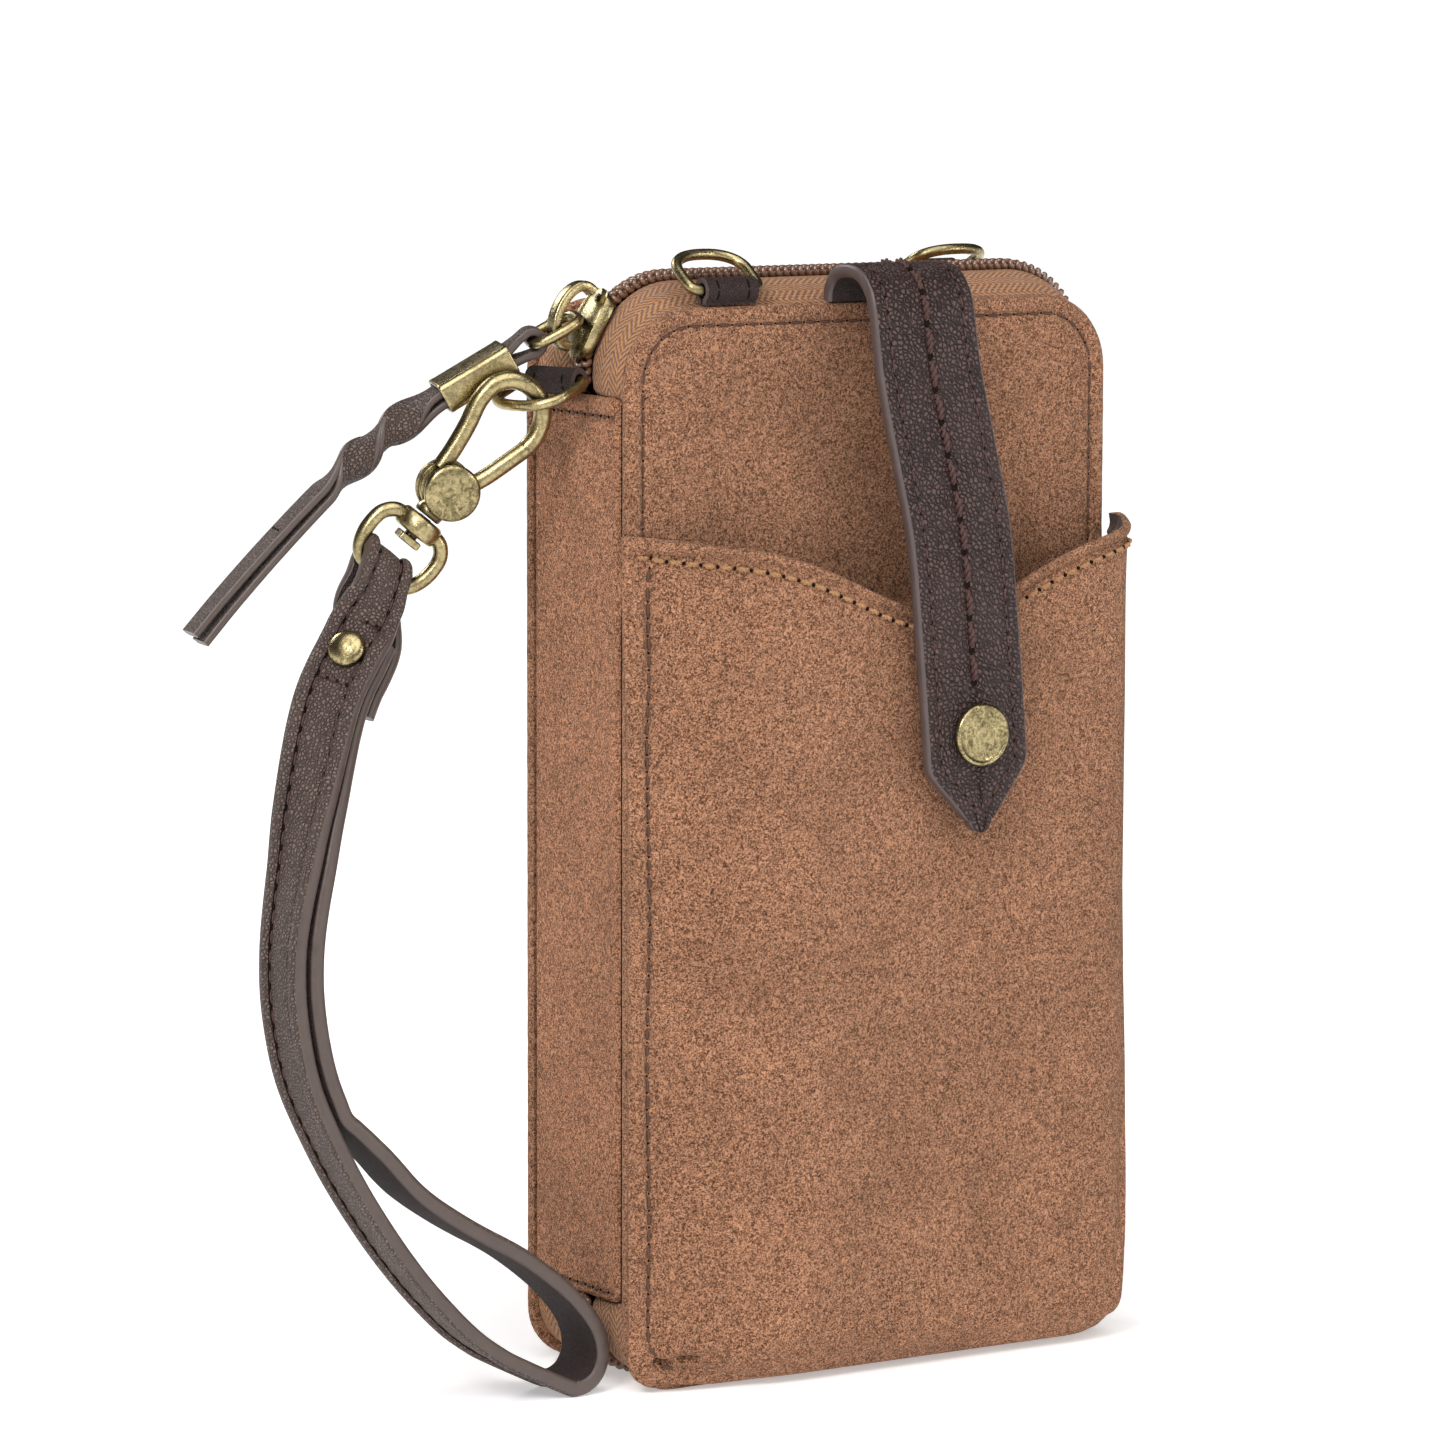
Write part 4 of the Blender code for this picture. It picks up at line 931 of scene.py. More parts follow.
def pocket_row(u):
    """Place across the pocket and its share of the bulge, from the left seam to the right one."""
    if u < 0.5:
        x = POCKET_LEFT_RAMP * (u / 0.5)
        return LEFT + x, 1.0 - (1.0 - x / POCKET_LEFT_RAMP) ** 2
    if u < 0.75:
        start = LEFT + POCKET_LEFT_RAMP
        end = RIGHT + POCKET_OVERHANG - POCKET_RIGHT_RAMP
        return start + (end - start) * (u - 0.5) / 0.25, 1.0
    angle = 0.5 * math.pi * (u - 0.75) / 0.25
    x = RIGHT + POCKET_OVERHANG - POCKET_RIGHT_RAMP * (1.0 - math.sin(angle) ** (2 / 3))
    return x, max(math.cos(angle), 0.0) ** (2 / 3)


def pocket_edge(x):
    """Height of the pocket's dipped top edge."""
    return POCKET_TOP - POCKET_DIP * math.exp(-((x - POCKET_DIP_X) / POCKET_DIP_SPREAD) ** 2)


def pocket_place(u, z):
    """A point of the pocket's outer face at a share of its width and at a height."""
    x, share = pocket_row(u)
    low = max(0.0, POCKET_CORNER - (z - POCKET_FOOT))
    tuck = POCKET_CORNER - math.sqrt(max(POCKET_CORNER ** 2 - low ** 2, 0.0))
    x -= tuck * ((x - POCKET_MID_X) / POCKET_REACH) ** 3
    rise = 1.0 - max(0.0, 1.0 - (z - POCKET_FOOT) / 9.0) ** 3
    flare = 1.1 * eased(z, 96.0, 132.0) * (1.0 - u) ** 14
    return Vector((x - flare, FRONT - GAP - POCKET_BULGE * share * rise, z))


def pocket_grid(columns, rows, drops):
    """Rows of points of the pocket's outer face, finest under its top edge."""
    grid = []
    for j in range(rows + 1):
        line = []
        for i in range(columns + 1):
            u = i / columns
            top = pocket_edge(pocket_row(u)[0]) - drops[0]
            z = POCKET_FOOT + (top - POCKET_FOOT) * (j / rows) ** POCKET_ROW_POWER
            line.append(pocket_place(u, z))
        grid.append(line)
    for drop in drops[1:]:
        line = []
        for i in range(columns + 1):
            u = i / columns
            line.append(pocket_place(u, pocket_edge(pocket_row(u)[0]) - drop))
        grid.append(line)
    return grid


def cloth_object(grid):
    """A grid as a mesh with cloth physics, held at its sides and foot and lightly at its hem."""
    columns = len(grid[0])
    mesh = bpy.data.meshes.new("pocket_cloth")
    faces = [(j * columns + i, j * columns + i + 1, (j + 1) * columns + i + 1,
              (j + 1) * columns + i) for j in range(len(grid) - 1) for i in range(columns - 1)]
    mesh.from_pydata([point * MM for line in grid for point in line], [], faces)
    thing = bpy.data.objects.new("pocket_cloth", mesh)
    bpy.context.scene.collection.objects.link(thing)
    sewn = thing.vertex_groups.new(name="sewn")
    for j in range(len(grid)):
        for i in range(columns):
            held = i < 2 or i > columns - 3 or j < 2
            hem = j > len(grid) - 3
            weight = 1.0 if held else CLOTH_HEM_HOLD if hem else 0.0
            sewn.add([j * columns + i], weight, 'REPLACE')
    settings = thing.modifiers.new("cloth", 'CLOTH').settings
    for key, value in CLOTH_SETTINGS.items():
        setattr(settings, key, value)
    return thing


def hang_cloth(grid):
    """Let a grid sewn at its sides and foot settle as cloth, and return how far its points move."""
    thing = cloth_object(grid)
    scene = bpy.context.scene
    for frame in range(1, CLOTH_FRAMES + 1):
        scene.frame_set(frame)
    settled = thing.evaluated_get(bpy.context.evaluated_depsgraph_get()).data
    moved = []
    for j, line in enumerate(grid):
        row = []
        for i, point in enumerate(line):
            shift = settled.vertices[j * len(line) + i].co / MM - point
            row.append(shift * min(1.0, CLOTH_LIMIT / max(shift.length, 0.001)))
        moved.append(row)
    scene.frame_set(1)
    mesh = thing.data
    bpy.data.objects.remove(thing, do_unlink=True)
    bpy.data.meshes.remove(mesh)
    return moved


def between(rows, across, up):
    """Value of a coarse grid of vectors between its points, at shares of its width and height."""
    i = min(int(across * (len(rows[0]) - 1)), len(rows[0]) - 2)
    j = min(int(up * (len(rows) - 1)), len(rows) - 2)
    s = across * (len(rows[0]) - 1) - i
    t = up * (len(rows) - 1) - j
    return (rows[j][i].lerp(rows[j][i + 1], s)).lerp(rows[j + 1][i].lerp(rows[j + 1][i + 1], s), t)


def grid_normals(grid):
    """Outward direction at each point of the pocket's grid."""
    normals = []
    for j in range(len(grid)):
        line = []
        for i in range(len(grid[0])):
            right = grid[j][min(i + 1, len(grid[0]) - 1)] - grid[j][max(i - 1, 0)]
            up = grid[min(j + 1, len(grid) - 1)][i] - grid[max(j - 1, 0)][i]
            line.append(right.cross(up).normalized())
        normals.append(line)
    return normals


def corner_inset(away, height):
    """Distance from the pocket's side and foot, measured round its bottom corner."""
    radius = POCKET_SEAM_CORNER
    if away < radius and height < radius:
        return radius - math.hypot(radius - away, radius - height)
    return min(away, height)


def pocket_relief(point, drop):
    """Sewn hem, left seam, corner pleat and soft waves of the pocket's face."""
    x, _, z = point
    from_left = x - LEFT
    from_right = RIGHT + POCKET_OVERHANG - x
    pucker = 1.0 + 0.3 * math.sin(2 * math.pi * x / SEAM_PITCH)
    hem = -0.5 * pucker * dent(drop - POCKET_HEM, 0.5) + 0.25 * dent(drop - 1.4, 1.0)
    inset = corner_inset(from_left, z - POCKET_FOOT)
    side = 0.18 * dent(inset - 1.2, 1.1)
    side -= 0.6 * dent(inset - SEAM_INSET, 0.55) * (1.0 - eased(from_left, 9.0, 16.0))
    wave = 0.55 * ripple(x, 3.0, z, 30.0) + 0.16 * ripple(x, 8.0, z, 10.0)
    wave *= eased(min(from_left, from_right, z), 3.0, 12.0)
    fold = z - 4.6 - 0.16 * from_left
    pleat = 0.8 * dent(fold - 1.6, 1.3) - 1.2 * dent(fold, 0.45)
    pleat *= eased(from_left, 2.5, 5.0) * (1.0 - eased(from_left, 10.5, 14.5))
    return hem + side + wave + pleat


def relax_pocket(grid):
    """Move a fine grid as a coarse one settles in the cloth simulation."""
    moved = hang_cloth(pocket_grid(CLOTH_COLUMNS, CLOTH_ROWS, (0.0,)))
    last = len(grid) - 1
    for j, line in enumerate(grid):
        for i, point in enumerate(line):
            height = (point.z - POCKET_FOOT) / (pocket_edge(point.x) - POCKET_FOOT)
            up = min(max(height, 0.0), 1.0) ** (1 / POCKET_ROW_POWER) if j < last else 1.0
            line[i] = point + between(moved, i / POCKET_COLUMNS, up)


def build_pocket(materials):
    """The phone pocket: relaxed as cloth, then hemmed, sewn, pleated and given its thickness."""
    grid = pocket_grid(POCKET_COLUMNS, POCKET_ROWS, POCKET_DROPS)
    relax_pocket(grid)
    normals = grid_normals(grid)
    outer = []
    for line, outs in zip(grid, normals):
        outer.append([point + out * pocket_relief(point, pocket_edge(point.x) - point.z)
                      for point, out in zip(line, outs)])
    shape = Shape()
    layers = add_pocket_faces(shape, outer, normals)
    add_pocket_rim(shape, outer, normals, layers)
    settle(shape.build("suede_phone_pocket", [materials["suede"], materials["lining"]], 60.0),
           "front_half", "suede", "phone_pocket")
    build_pocket_stitching(outer, normals, materials)


def add_pocket_faces(shape, outer, normals):
    """The pocket's outer and inner face; returns the number of the first point of each."""
    columns = POCKET_COLUMNS + 1
    layers = []
    for depth in (0.0, POCKET_THICKNESS):
        layers.append(len(shape.points))
        for line, outs in zip(outer, normals):
            shape.points.extend(point - out * depth for point, out in zip(line, outs))
    for layer, base in enumerate(layers):
        for j in range(len(outer) - 1):
            for i in range(columns - 1):
                here = base + j * columns + i
                shape.faces.append((here, here + 1, here + columns + 1, here + columns))
                shape.kinds.append(layer)
    return layers


def add_pocket_rim(shape, outer, normals, layers):
    """The ragged raw edge round the pocket, between its two faces."""
    columns = POCKET_COLUMNS + 1
    rim = [(i, 0) for i in range(columns)] + [(columns - 1, j) for j in range(1, len(outer))]
    rim += [(i, len(outer) - 1) for i in range(columns - 2, -1, -1)]
    rim += [(0, j) for j in range(len(outer) - 2, 0, -1)]
    ridge = []
    for i, j in rim:
        middle = outer[j][i] - normals[j][i] * 0.5 * POCKET_THICKNESS
        away = middle - outer[min(max(j, 1), len(outer) - 2)][min(max(i, 1), columns - 2)]
        away = crosswise(away, normals[j][i])
        ridge.append(len(shape.points))
        ragged = 0.3 + 0.16 * ripple(*middle, 0.9)
        shape.points.append(middle + away * ragged)
    for n, (i, j) in enumerate(rim):
        k, m = rim[(n + 1) % len(rim)]
        far = ridge[(n + 1) % len(rim)]
        for base in layers:
            shape.faces.append((base + j * columns + i, base + m * columns + k, far, ridge[n]))
            shape.kinds.append(0)


def seam_point(points, outs, columns, measure):
    """Where a row of the pocket's grid crosses its seam, with the outward direction there."""
    for i in columns:
        here, there = (measure(points[n]) - SEAM_INSET for n in (i, i + 1))
        if here * there <= 0.0 and here != there:
            share = here / (here - there)
            return points[i].lerp(points[i + 1], share), outs[i].lerp(outs[i + 1], share)
    return None


def build_pocket_stitching(outer, normals, materials):
    """Golden thread along the pocket's dipped hem and dark slits down its sides."""
    hem_row = POCKET_ROWS + POCKET_DROPS.index(POCKET_HEM)
    gold = Shape()
    points = outer[hem_row][4:-4]
    outs = normals[hem_row][4:-4]
    for centre, out, run in along_line(points, outs, SEAM_PITCH, 1.0):
        path = [centre + run * 2.1 * (k / 9 - 0.5) + out * 0.42 for k in range(10)]
        add_twist(gold, path, [out] * 10, 0.27, 0.19, 1.5)
        add_hole(gold, centre + run * 0.5 * SEAM_PITCH + out * 0.16, out, run, 0.32)
    settle_stitching(gold, "pocket_hem_stitching", "gold_thread", "front_half", "suede", materials)
    dark = Shape()
    half = POCKET_COLUMNS // 2
    sides = ((range(half), lambda p: corner_inset(p.x - LEFT, p.z - POCKET_FOOT), 0.0, -0.12),
             (range(half, POCKET_COLUMNS), lambda p: FRONT - GAP - p.y, 16.0, 0.16))
    for columns, measure, foot, sink in sides:
        rows = zip(outer[:hem_row - 2], normals)
        found = [seam_point(points, outs, columns, measure) for points, outs in rows]
        found = [pair for pair in found if pair and pair[0].z > foot]
        sew(dark, [point for point, _ in found], [out for _, out in found],
            sink=sink, radius=0.3)
    settle_stitching(dark, "pocket_side_stitching", "brown_thread", "front_half", "suede",
                     materials)


def zip_line(left, right, foot, top, foot_radius, top_radius, ends=ZIP_ENDS):
    """The open line of a zip edge: up the left end, over the top, round and back to the left."""
    corners = ((left + top_radius, top - top_radius, top_radius, 180.0),
               (right - top_radius, top - top_radius, top_radius, 90.0),
               (right - foot_radius, foot + foot_radius, foot_radius, 0.0),
               (left + foot_radius, foot + foot_radius, foot_radius, -90.0))
    line = [Vector((left, 0.0, ends[0]))]
    for n, (cx, cz, radius, start) in enumerate(corners):
        if n:
            span = (right - left, top - foot, right - left)[n - 1]
            begin = line[-1]
            end = Vector((cx + radius * math.cos(math.radians(start)), 0.0,
                          cz + radius * math.sin(math.radians(start))))
            steps = int(ZIP_DENSITY * span)
            line.extend(begin.lerp(end, k / steps) for k in range(1, steps))
        for k in range(ZIP_ARC + 1):
            angle = math.radians(start - 90.0 * k / ZIP_ARC)
            line.append(Vector((cx + radius * math.cos(angle), 0.0,
                                cz + radius * math.sin(angle))))
    line.append(Vector((left, 0.0, ends[1])))
    return line


def build_coil(name, middle, lean, phase, body, node, materials):
    """One row of zip coils: a continuous flattened helix of nylon."""
    line = zip_line(ZIP_LEFT, ZIP_RIGHT, ZIP_FOOT, ZIP_TOP, ZIP_FOOT_RADIUS, ZIP_TOP_RADIUS)
    outs = [Vector((0, 1, 0)).cross(run) * -1.0 for run in tangents(line)]
    steps = 12
    turns = along_line(line, outs, COIL_PITCH / steps)
    path = []
    for n, (point, out, run) in enumerate(turns):
        angle = 2 * math.pi * (n / steps + phase)
        side = math.cos(angle)
        path.append(point + Vector((0, middle + 0.44 * side, 0))
                    + out * (COIL_LIFT + 0.6 * math.sin(angle)) + run * lean * side)
    shape = Shape()
    add_tube(shape, path, COIL_WIRE, (0.31, 0.87, 0.38), sides=7)
    settle(shape.build(name, [materials["coil"]], 80.0), body, "zip_coil", node)


def build_tape(name, seam, coil_side, body, node, materials):
    """Woven tape that slopes from a cover's edge up to the coils, a little bowed."""
    edge = zip_line(LEFT + TAPE_EDGE_INSET, RIGHT - TAPE_EDGE_INSET, TAPE_EDGE_INSET,
                    HEIGHT - TAPE_EDGE_INSET, FOOT_RADIUS, TOP_RADIUS - TAPE_EDGE_INSET,
                    TAPE_ENDS)
    crest = zip_line(ZIP_LEFT, ZIP_RIGHT, ZIP_FOOT, ZIP_TOP, ZIP_FOOT_RADIUS, ZIP_TOP_RADIUS,
                     TAPE_ENDS)
    edge = even_points(edge, TAPE_RINGS)
    crest = even_points(crest, TAPE_RINGS)
    outs = [Vector((0, 1, 0)).cross(run) * -1.0 for run in tangents(crest)]
    rings = []
    for base, peak, out in zip(edge, crest, outs):
        upper = []
        lower = []
        hidden = eased(peak.z, SPINE_FOOT - 1.5, SPINE_FOOT + 2.0) if peak.x < LEFT + 2.0 else 0.0
        hidden *= 1.0 - eased(peak.z, SPINE_TOP - 2.0, SPINE_TOP + 1.5)
        for k in range(TAPE_COLUMNS):
            share = k / (TAPE_COLUMNS - 1)
            climb = 1.14 * share - 0.14 * share * share
            place = base.lerp(peak, climb) + Vector((0, seam + (coil_side - seam) * share, 0))
            place.x += 1.9 * hidden
            bow = 0.35 * math.sin(math.pi * share) + 0.2 * ripple(*place, 14.0) * math.sin(
                math.pi * share)
            sag = 0.9 * share ** 3
            upper.append(place + out * (0.4 + bow - sag))
            lower.append(place + out * (bow - 0.4 - sag))
        rings.append(upper + lower[::-1])
    shape = Shape()
    shape.loft(rings)
    thing = shape.build(name, [materials["tape"]])
    add_tape_uv(thing, rings)
    settle(thing, body, "zip_tape", node)


def even_points(line, count):
    """The same line with so many points at equal steps."""
    total = sum((q - p).length for p, q in zip(line, line[1:]))
    outs = [Vector((0, 1, 0))] * len(line)
    places = [place for place, _, _ in along_line(line, outs, total / count)]
    return (places + [line[-1]] * count)[:count]


def add_tape_uv(thing, rings):
    """Coordinates in millimetres along and across the tape, for its weave."""
    count = len(rings[0])
    travelled = [0.0]
    for before, after in zip(rings, rings[1:]):
        travelled.append(travelled[-1] + (after[7] - before[7]).length)
    width = count // 2
    across = [0.92 * (n if n < width else count - 1 - n) for n in range(count)]
    layer = thing.data.uv_layers.new(name="weave")
    for loop in thing.data.loops:
        ring, place = divmod(loop.vertex_index, count)
        layer.data[loop.index].uv = (travelled[ring], across[place])


def closure_stations():
    """Centre line of the whole closure strap, from its sewn root over the top to its tip."""
    hx, hy, hz = STRAP_HINGE
    top = hz - 0.5 * STRAP_THICKNESS - 0.05
    snap_y = FRONT - POCKET_BULGE - 3.9
    return smooth(((hx + 0.2, -14.8, HEIGHT + GAP), (hx + 0.2, -15.2, 175.4),
                   (hx + 0.1, -17.2, 177.6), (hx, hy, top), (hx - 0.1, hy - 3.6, top - 0.5),
                   (hx - 0.2, hy - 6.4, top - 2.6), (hx - 0.1, hy - 7.9, top - 6.0),
                   (-0.5, snap_y + 1.4, 162.0), (2.0, snap_y + 0.6, 149.0), (4.5, snap_y, 136.0),
                   (6.3, snap_y, 119.0), (SNAP_X, snap_y, SNAP_Z), (8.2, snap_y, 96.0),
                   (8.6, snap_y, 88.5)), 26)


def closure_half_width(distance):
    """Half the strap's width at a distance from its tip: straight sides to a rounded point."""
    slope = (STRAP_HALF_WIDTH - 0.9) / STRAP_TIP_LENGTH
    line = 0.9 + slope * distance
    nose = 2.2
    if distance < nose:
        line = min(line, math.sqrt(max(nose ** 2 - (nose - distance) ** 2, 0.0025)))
    sharp = 2.2
    return -math.log(math.exp(-sharp * line) + math.exp(-sharp * STRAP_HALF_WIDTH)) / sharp


def closure_section(half, groove):
    """Cross-section of the closure strap: painted edges, sewn grooves, a seam down the middle."""
    t = 0.5 * STRAP_THICKNESS
    small = min(1.0, half / (groove + 1.4))
    side = ((0.6, -t), (0.15, -t + 0.2), (0.0, -0.5), (-0.05, 0.0), (0.0, 0.45), (0.12, t - 0.28),
            (0.45, t - 0.05), (0.9, t), (groove - 0.7, t + 0.04), (groove - 0.28, t - 0.04),
            (groove, t - 0.26), (groove + 0.28, t - 0.04), (groove + 0.9, t + 0.05))
    centre = ((1.6, t + 0.1), (0.85, t + 0.02), (0.4, t - 0.2))
    wide = min(1.0, max(half - groove - 1.0, 0.02) / 4.0)
    right = [(half - inset * small, v) for inset, v in side]
    right += [(u * wide, v) for u, v in centre]
    return right + [(0.0, t - 0.3)] + [(-u, v) for u, v in reversed(right)]


def section_kinds(section, half, paint, base):
    """0 for the face, 1 for painted edges and 2 for the underside, strip by strip."""
    kinds = []
    for (u0, v0), (u1, v1) in zip(section, section[1:] + section[:1]):
        if v0 <= base + 0.01 and v1 <= base + 0.01:
            kinds.append(2)
        elif abs(0.5 * (u0 + u1)) > half - paint:
            kinds.append(1)
        else:
            kinds.append(0)
    return kinds


def blend_strap(thing, slot, *nodes):
    """Bake a piece of the closure strap's placement into its mesh, and hide the CAD nodes that it
    stands for.
    """
    if nodes:
        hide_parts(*nodes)
    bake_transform(thing)


def build_closure_strap(materials):
    """The pebbled leather strap with its edge stitching and its thick saddle-stitched seam."""
    path = closure_stations()
    tip = path[-1].z
    runs = tangents(path)
    across = Vector((1.0, 0.0, 0.0))
    rings = []
    frames = []
    for n, (point, run) in enumerate(zip(path, runs)):
        distance = point.z - tip if n > 0.5 * len(path) else 80.0
        half = closure_half_width(distance)
        slope = (closure_half_width(distance + 0.1) - half) / 0.1
        groove = STRAP_SEAM * math.sqrt(1.0 + min(slope, 1.2) ** 2)
        wide = crosswise(across, run)
        out = run.cross(wide)
        rings.append(ring_at(point, wide, out, closure_section(half, groove)))
        frames.append((point, wide, out, half, groove))
    kinds = section_kinds(closure_section(STRAP_HALF_WIDTH, STRAP_SEAM), STRAP_HALF_WIDTH, 0.62,
                          -0.5 * STRAP_THICKNESS)
    shape = Shape()
    shape.loft(rings, kinds=kinds, cap_kind=1)
    finishes = [materials["dark"], materials["dark_paint"], materials["rough"]]
    blend_strap(shape.build("closure_strap_leather", finishes, 50.0), "dark_leather",
                "strap_root", "closure_strap")
    build_closure_stitching(frames, materials)


def build_closure_stitching(frames, materials):
    """Two rows that meet at the tip, and the saddle stitches down the middle."""
    lift = 0.5 * STRAP_THICKNESS
    fine = Shape()
    for side in (1.0, -1.0):
        kept = [f for f in frames if f[3] - f[4] > 0.05]
        line = [p + wide * side * (half - groove) + out * (lift - 0.16)
                for p, wide, out, half, groove in kept]
        sew(fine, line, [f[2] for f in kept], pitch=2.5, radius=0.2, hole=0.2)
    blend_strap(fine.build("closure_strap_stitching", [materials["red_thread"], materials["hole"]]),
                "dark_leather")
    thick = Shape()
    seam = [f for n, f in enumerate(frames) if f[0].z > SNAP_Z + 5.6 or n < 0.5 * len(frames)]
    line = [p + out * (lift + 0.3) for p, _, out, _, _ in seam]
    outs = [f[2] for f in seam]
    places = along_line(line, outs, SADDLE_PITCH / SADDLE_STEPS)
    for start in range(0, len(places) - SADDLE_KEPT + 1, SADDLE_STEPS):
        stitch = places[start:start + SADDLE_KEPT]
        add_twist(thick, [s[0] for s in stitch], [s[1] for s in stitch], 0.40, 0.30, 2.3)
    for point, out, run in places[SADDLE_KEPT::SADDLE_STEPS]:
        add_hole(thick, point - out * 0.42, out, run, 0.62)
    blend_strap(thick.build("closure_strap_saddle_stitch",
                            [materials["red_thread"], materials["hole"]]), "dark_leather")


def build_snap_cap(materials):
    """The press stud's flat cap with its raised rim."""
    shape = Shape()
    add_lathe(shape, ((0.9, 2.5), (0.9, 4.9), (4.5, 4.95), (4.85, 5.1), (5.0, 5.4), (5.03, 5.9),
                      (4.95, 6.3), (4.75, 6.52), (4.55, 6.56), (4.38, 6.46), (4.22, 6.32),
                      (3.6, 6.33), (2.2, 6.38), (0.9, 6.42), (0.05, 6.43)),
              (SNAP_X, FRONT - GAP - POCKET_BULGE, SNAP_Z), (0, -1, 0), sides=72)
    settle_brass(shape, "snap_cap", "strap_flap", materials, "brass_face", 50.0)


def d_ring_path(centre, along, out, depth):
    """Middle line of a D ring whose flat side lies in a tab and whose bow points out."""
    along = Vector(along).normalized()
    out = Vector(out).normalized()
    path = []
    steps = 96
    for k in range(steps):
        angle = 2 * math.pi * (k + 0.5) / steps
        c = math.cos(angle)
        s = math.sin(angle)
        power = 0.85 if s > 0 else 0.3
        u = RING_HALF_WIDTH * bulged(c, power)
        v = 0.5 * depth * (1.0 + bulged(s, power))
        path.append(Vector(centre) + along * u + out * v)
    return path


def build_ring(name, centre, along, out, depth, body, materials):
    """A brass D ring."""
    shape = Shape()
    add_tube(shape, d_ring_path(centre, along, out, depth), RING_WIRE,
             Vector(along).cross(Vector(out)), closed=True)
    settle_brass(shape, name, body, materials, angle=80.0, ending="_wire")


def tab_profile(leg):
    """Cross-section of a leather strip folded round a ring's wire, as its outer and inner line."""
    middle = 0.5 * (TAB_OUTER + TAB_INNER)
    half = 0.5 * (TAB_OUTER - TAB_INNER)
    line = [(-half - 0.2, leg), (-half - 0.25, 0.75 * leg)]
    for k in range(25):
        angle = math.radians(40.0 + 280.0 * k / 24)
        line.append((-middle * math.sin(angle), middle * math.cos(angle)))
    line.extend(((half + 0.25, 0.75 * leg), (half + 0.2, leg)))
    outer = []
    inner = []
    for i, (u, v) in enumerate(line):
        u0, v0 = line[max(i - 1, 0)]
        u1, v1 = line[min(i + 1, len(line) - 1)]
        length = math.hypot(u1 - u0, v1 - v0)
        nu, nv = (v1 - v0) / length, -(u1 - u0) / length
        outer.append((u - nu * half, v - nv * half))
        inner.append((u + nu * half, v + nv * half))
    return outer, inner


def build_tab(name, centre, axis, down, leg, length, front, body, materials):
    """A leather tab round a ring, with painted ends and a stitch near each of them."""
    axis = Vector(axis).normalized()
    down = crosswise(Vector(down), axis)
    side = axis.cross(down)
    centre = Vector(centre)
    outer, inner = tab_profile(leg)
    count = len(outer)
    rings = []
    stops = ((0.5, 0.1), (0.485, 0.04), (0.45, 0.0), (0.4, 0.0), (0.34, 0.05), (0.3, 0.16),
             (0.26, 0.05), (0.2, 0.0), (0.1, -0.03), (0.0, -0.05))
    for place, sink in stops[:-1] + tuple((-p, s) for p, s in reversed(stops)):
        sunk = [(u * (1.0 - sink / TAB_OUTER), v * (1.0 - sink / TAB_OUTER) if v < 0 else v)
                for u, v in outer]
        rings.append(ring_at(centre + axis * place * length, side, down, sunk + inner[::-1]))
    kinds = [0] * (count - 1) + [1] + [2] * (count - 1) + [1]
    shape = Shape()
    shape.loft(rings, kinds=kinds, cap_kind=1)
    settle(shape.build(name + "_leather",
                       [materials["dark"], materials["dark_paint"], materials["rough"]], 50.0),
           body, "dark_leather", name)
    thread = Shape()
    facing = side * (1.0 if side.dot(Vector(front)) > 0 else -1.0)
    for place in (-0.3, 0.3):
        for turn in (-0.55, 0.35):
            out = (facing * math.cos(turn) + down * math.sin(turn)).normalized()
            add_stitch(thread, centre + axis * place * length + out * (TAB_OUTER - 0.12), out,
                       out.cross(axis).normalized(), 1.5, 0.2, 0.0)
    settle(thread.build(name + "_stitching", [materials["hole"]]), body, "dark_leather")


def corner_point(radius, angle, y):
    """A point round the zip's top left corner."""
    turn = math.radians(angle)
    return Vector((ZIP_LEFT + ZIP_TOP_RADIUS + radius * math.cos(turn), y,
                   ZIP_TOP - ZIP_TOP_RADIUS + radius * math.sin(turn)))


def build_slider(materials):
    """The slider's shield-shaped plate with its flared rims."""
    rings = []
    steps = 30
    columns = 14
    for k in range(steps + 1):
        share = k / steps
        angle = SLIDER_ANGLE + SLIDER_SPAN * (share - 0.5)
        half = 0.5 * SLIDER_WIDTH * (1.0 - 0.45 * abs(2.0 * share - 0.9) ** 3)
        half *= math.sqrt(max(1.0 - (2.0 * share - 1.0) ** 12, 0.25))
        flare = 0.5 * dent(share, 0.22)
        upper = []
        lower = []
        for m in range(columns + 1):
            w = 2.0 * m / columns - 1.0
            droop = 1.15 * abs(w) ** 3.2
            lip = 0.34 * dent(abs(w) - 0.86, 0.1)
            y = COIL_SPLIT + half * w
            upper.append(corner_point(SLIDER_HIGH - droop + lip + flare, angle, y))
            lower.append(corner_point(SLIDER_LOW - 0.62 * droop + flare * 0.6, angle, y))
        rings.append(upper + lower[::-1])
    body = Shape()
    body.loft(rings)
    settle_brass(body, "slider_body", "zip_slider", materials, "brass_face")
    build_crown(materials)


def build_crown(materials):
    """The low arch over the slider that its pull's link hangs from."""
    path = []
    for k in range(41):
        turn = math.pi * k / 40
        angle = SLIDER_ANGLE - 0.5 * CROWN_SPAN * math.cos(turn)
        radius = SLIDER_HIGH + GAP + 0.9 + (CROWN_RISE - 1.0) * math.sin(turn) ** 0.7
        path.append(corner_point(radius, angle, COIL_SPLIT))
    crown = Shape()
    add_flat_wire(crown, path, (0, 1, 0), 1.25, 0.85)
    settle_brass(crown, "slider_crown", "zip_slider", materials)


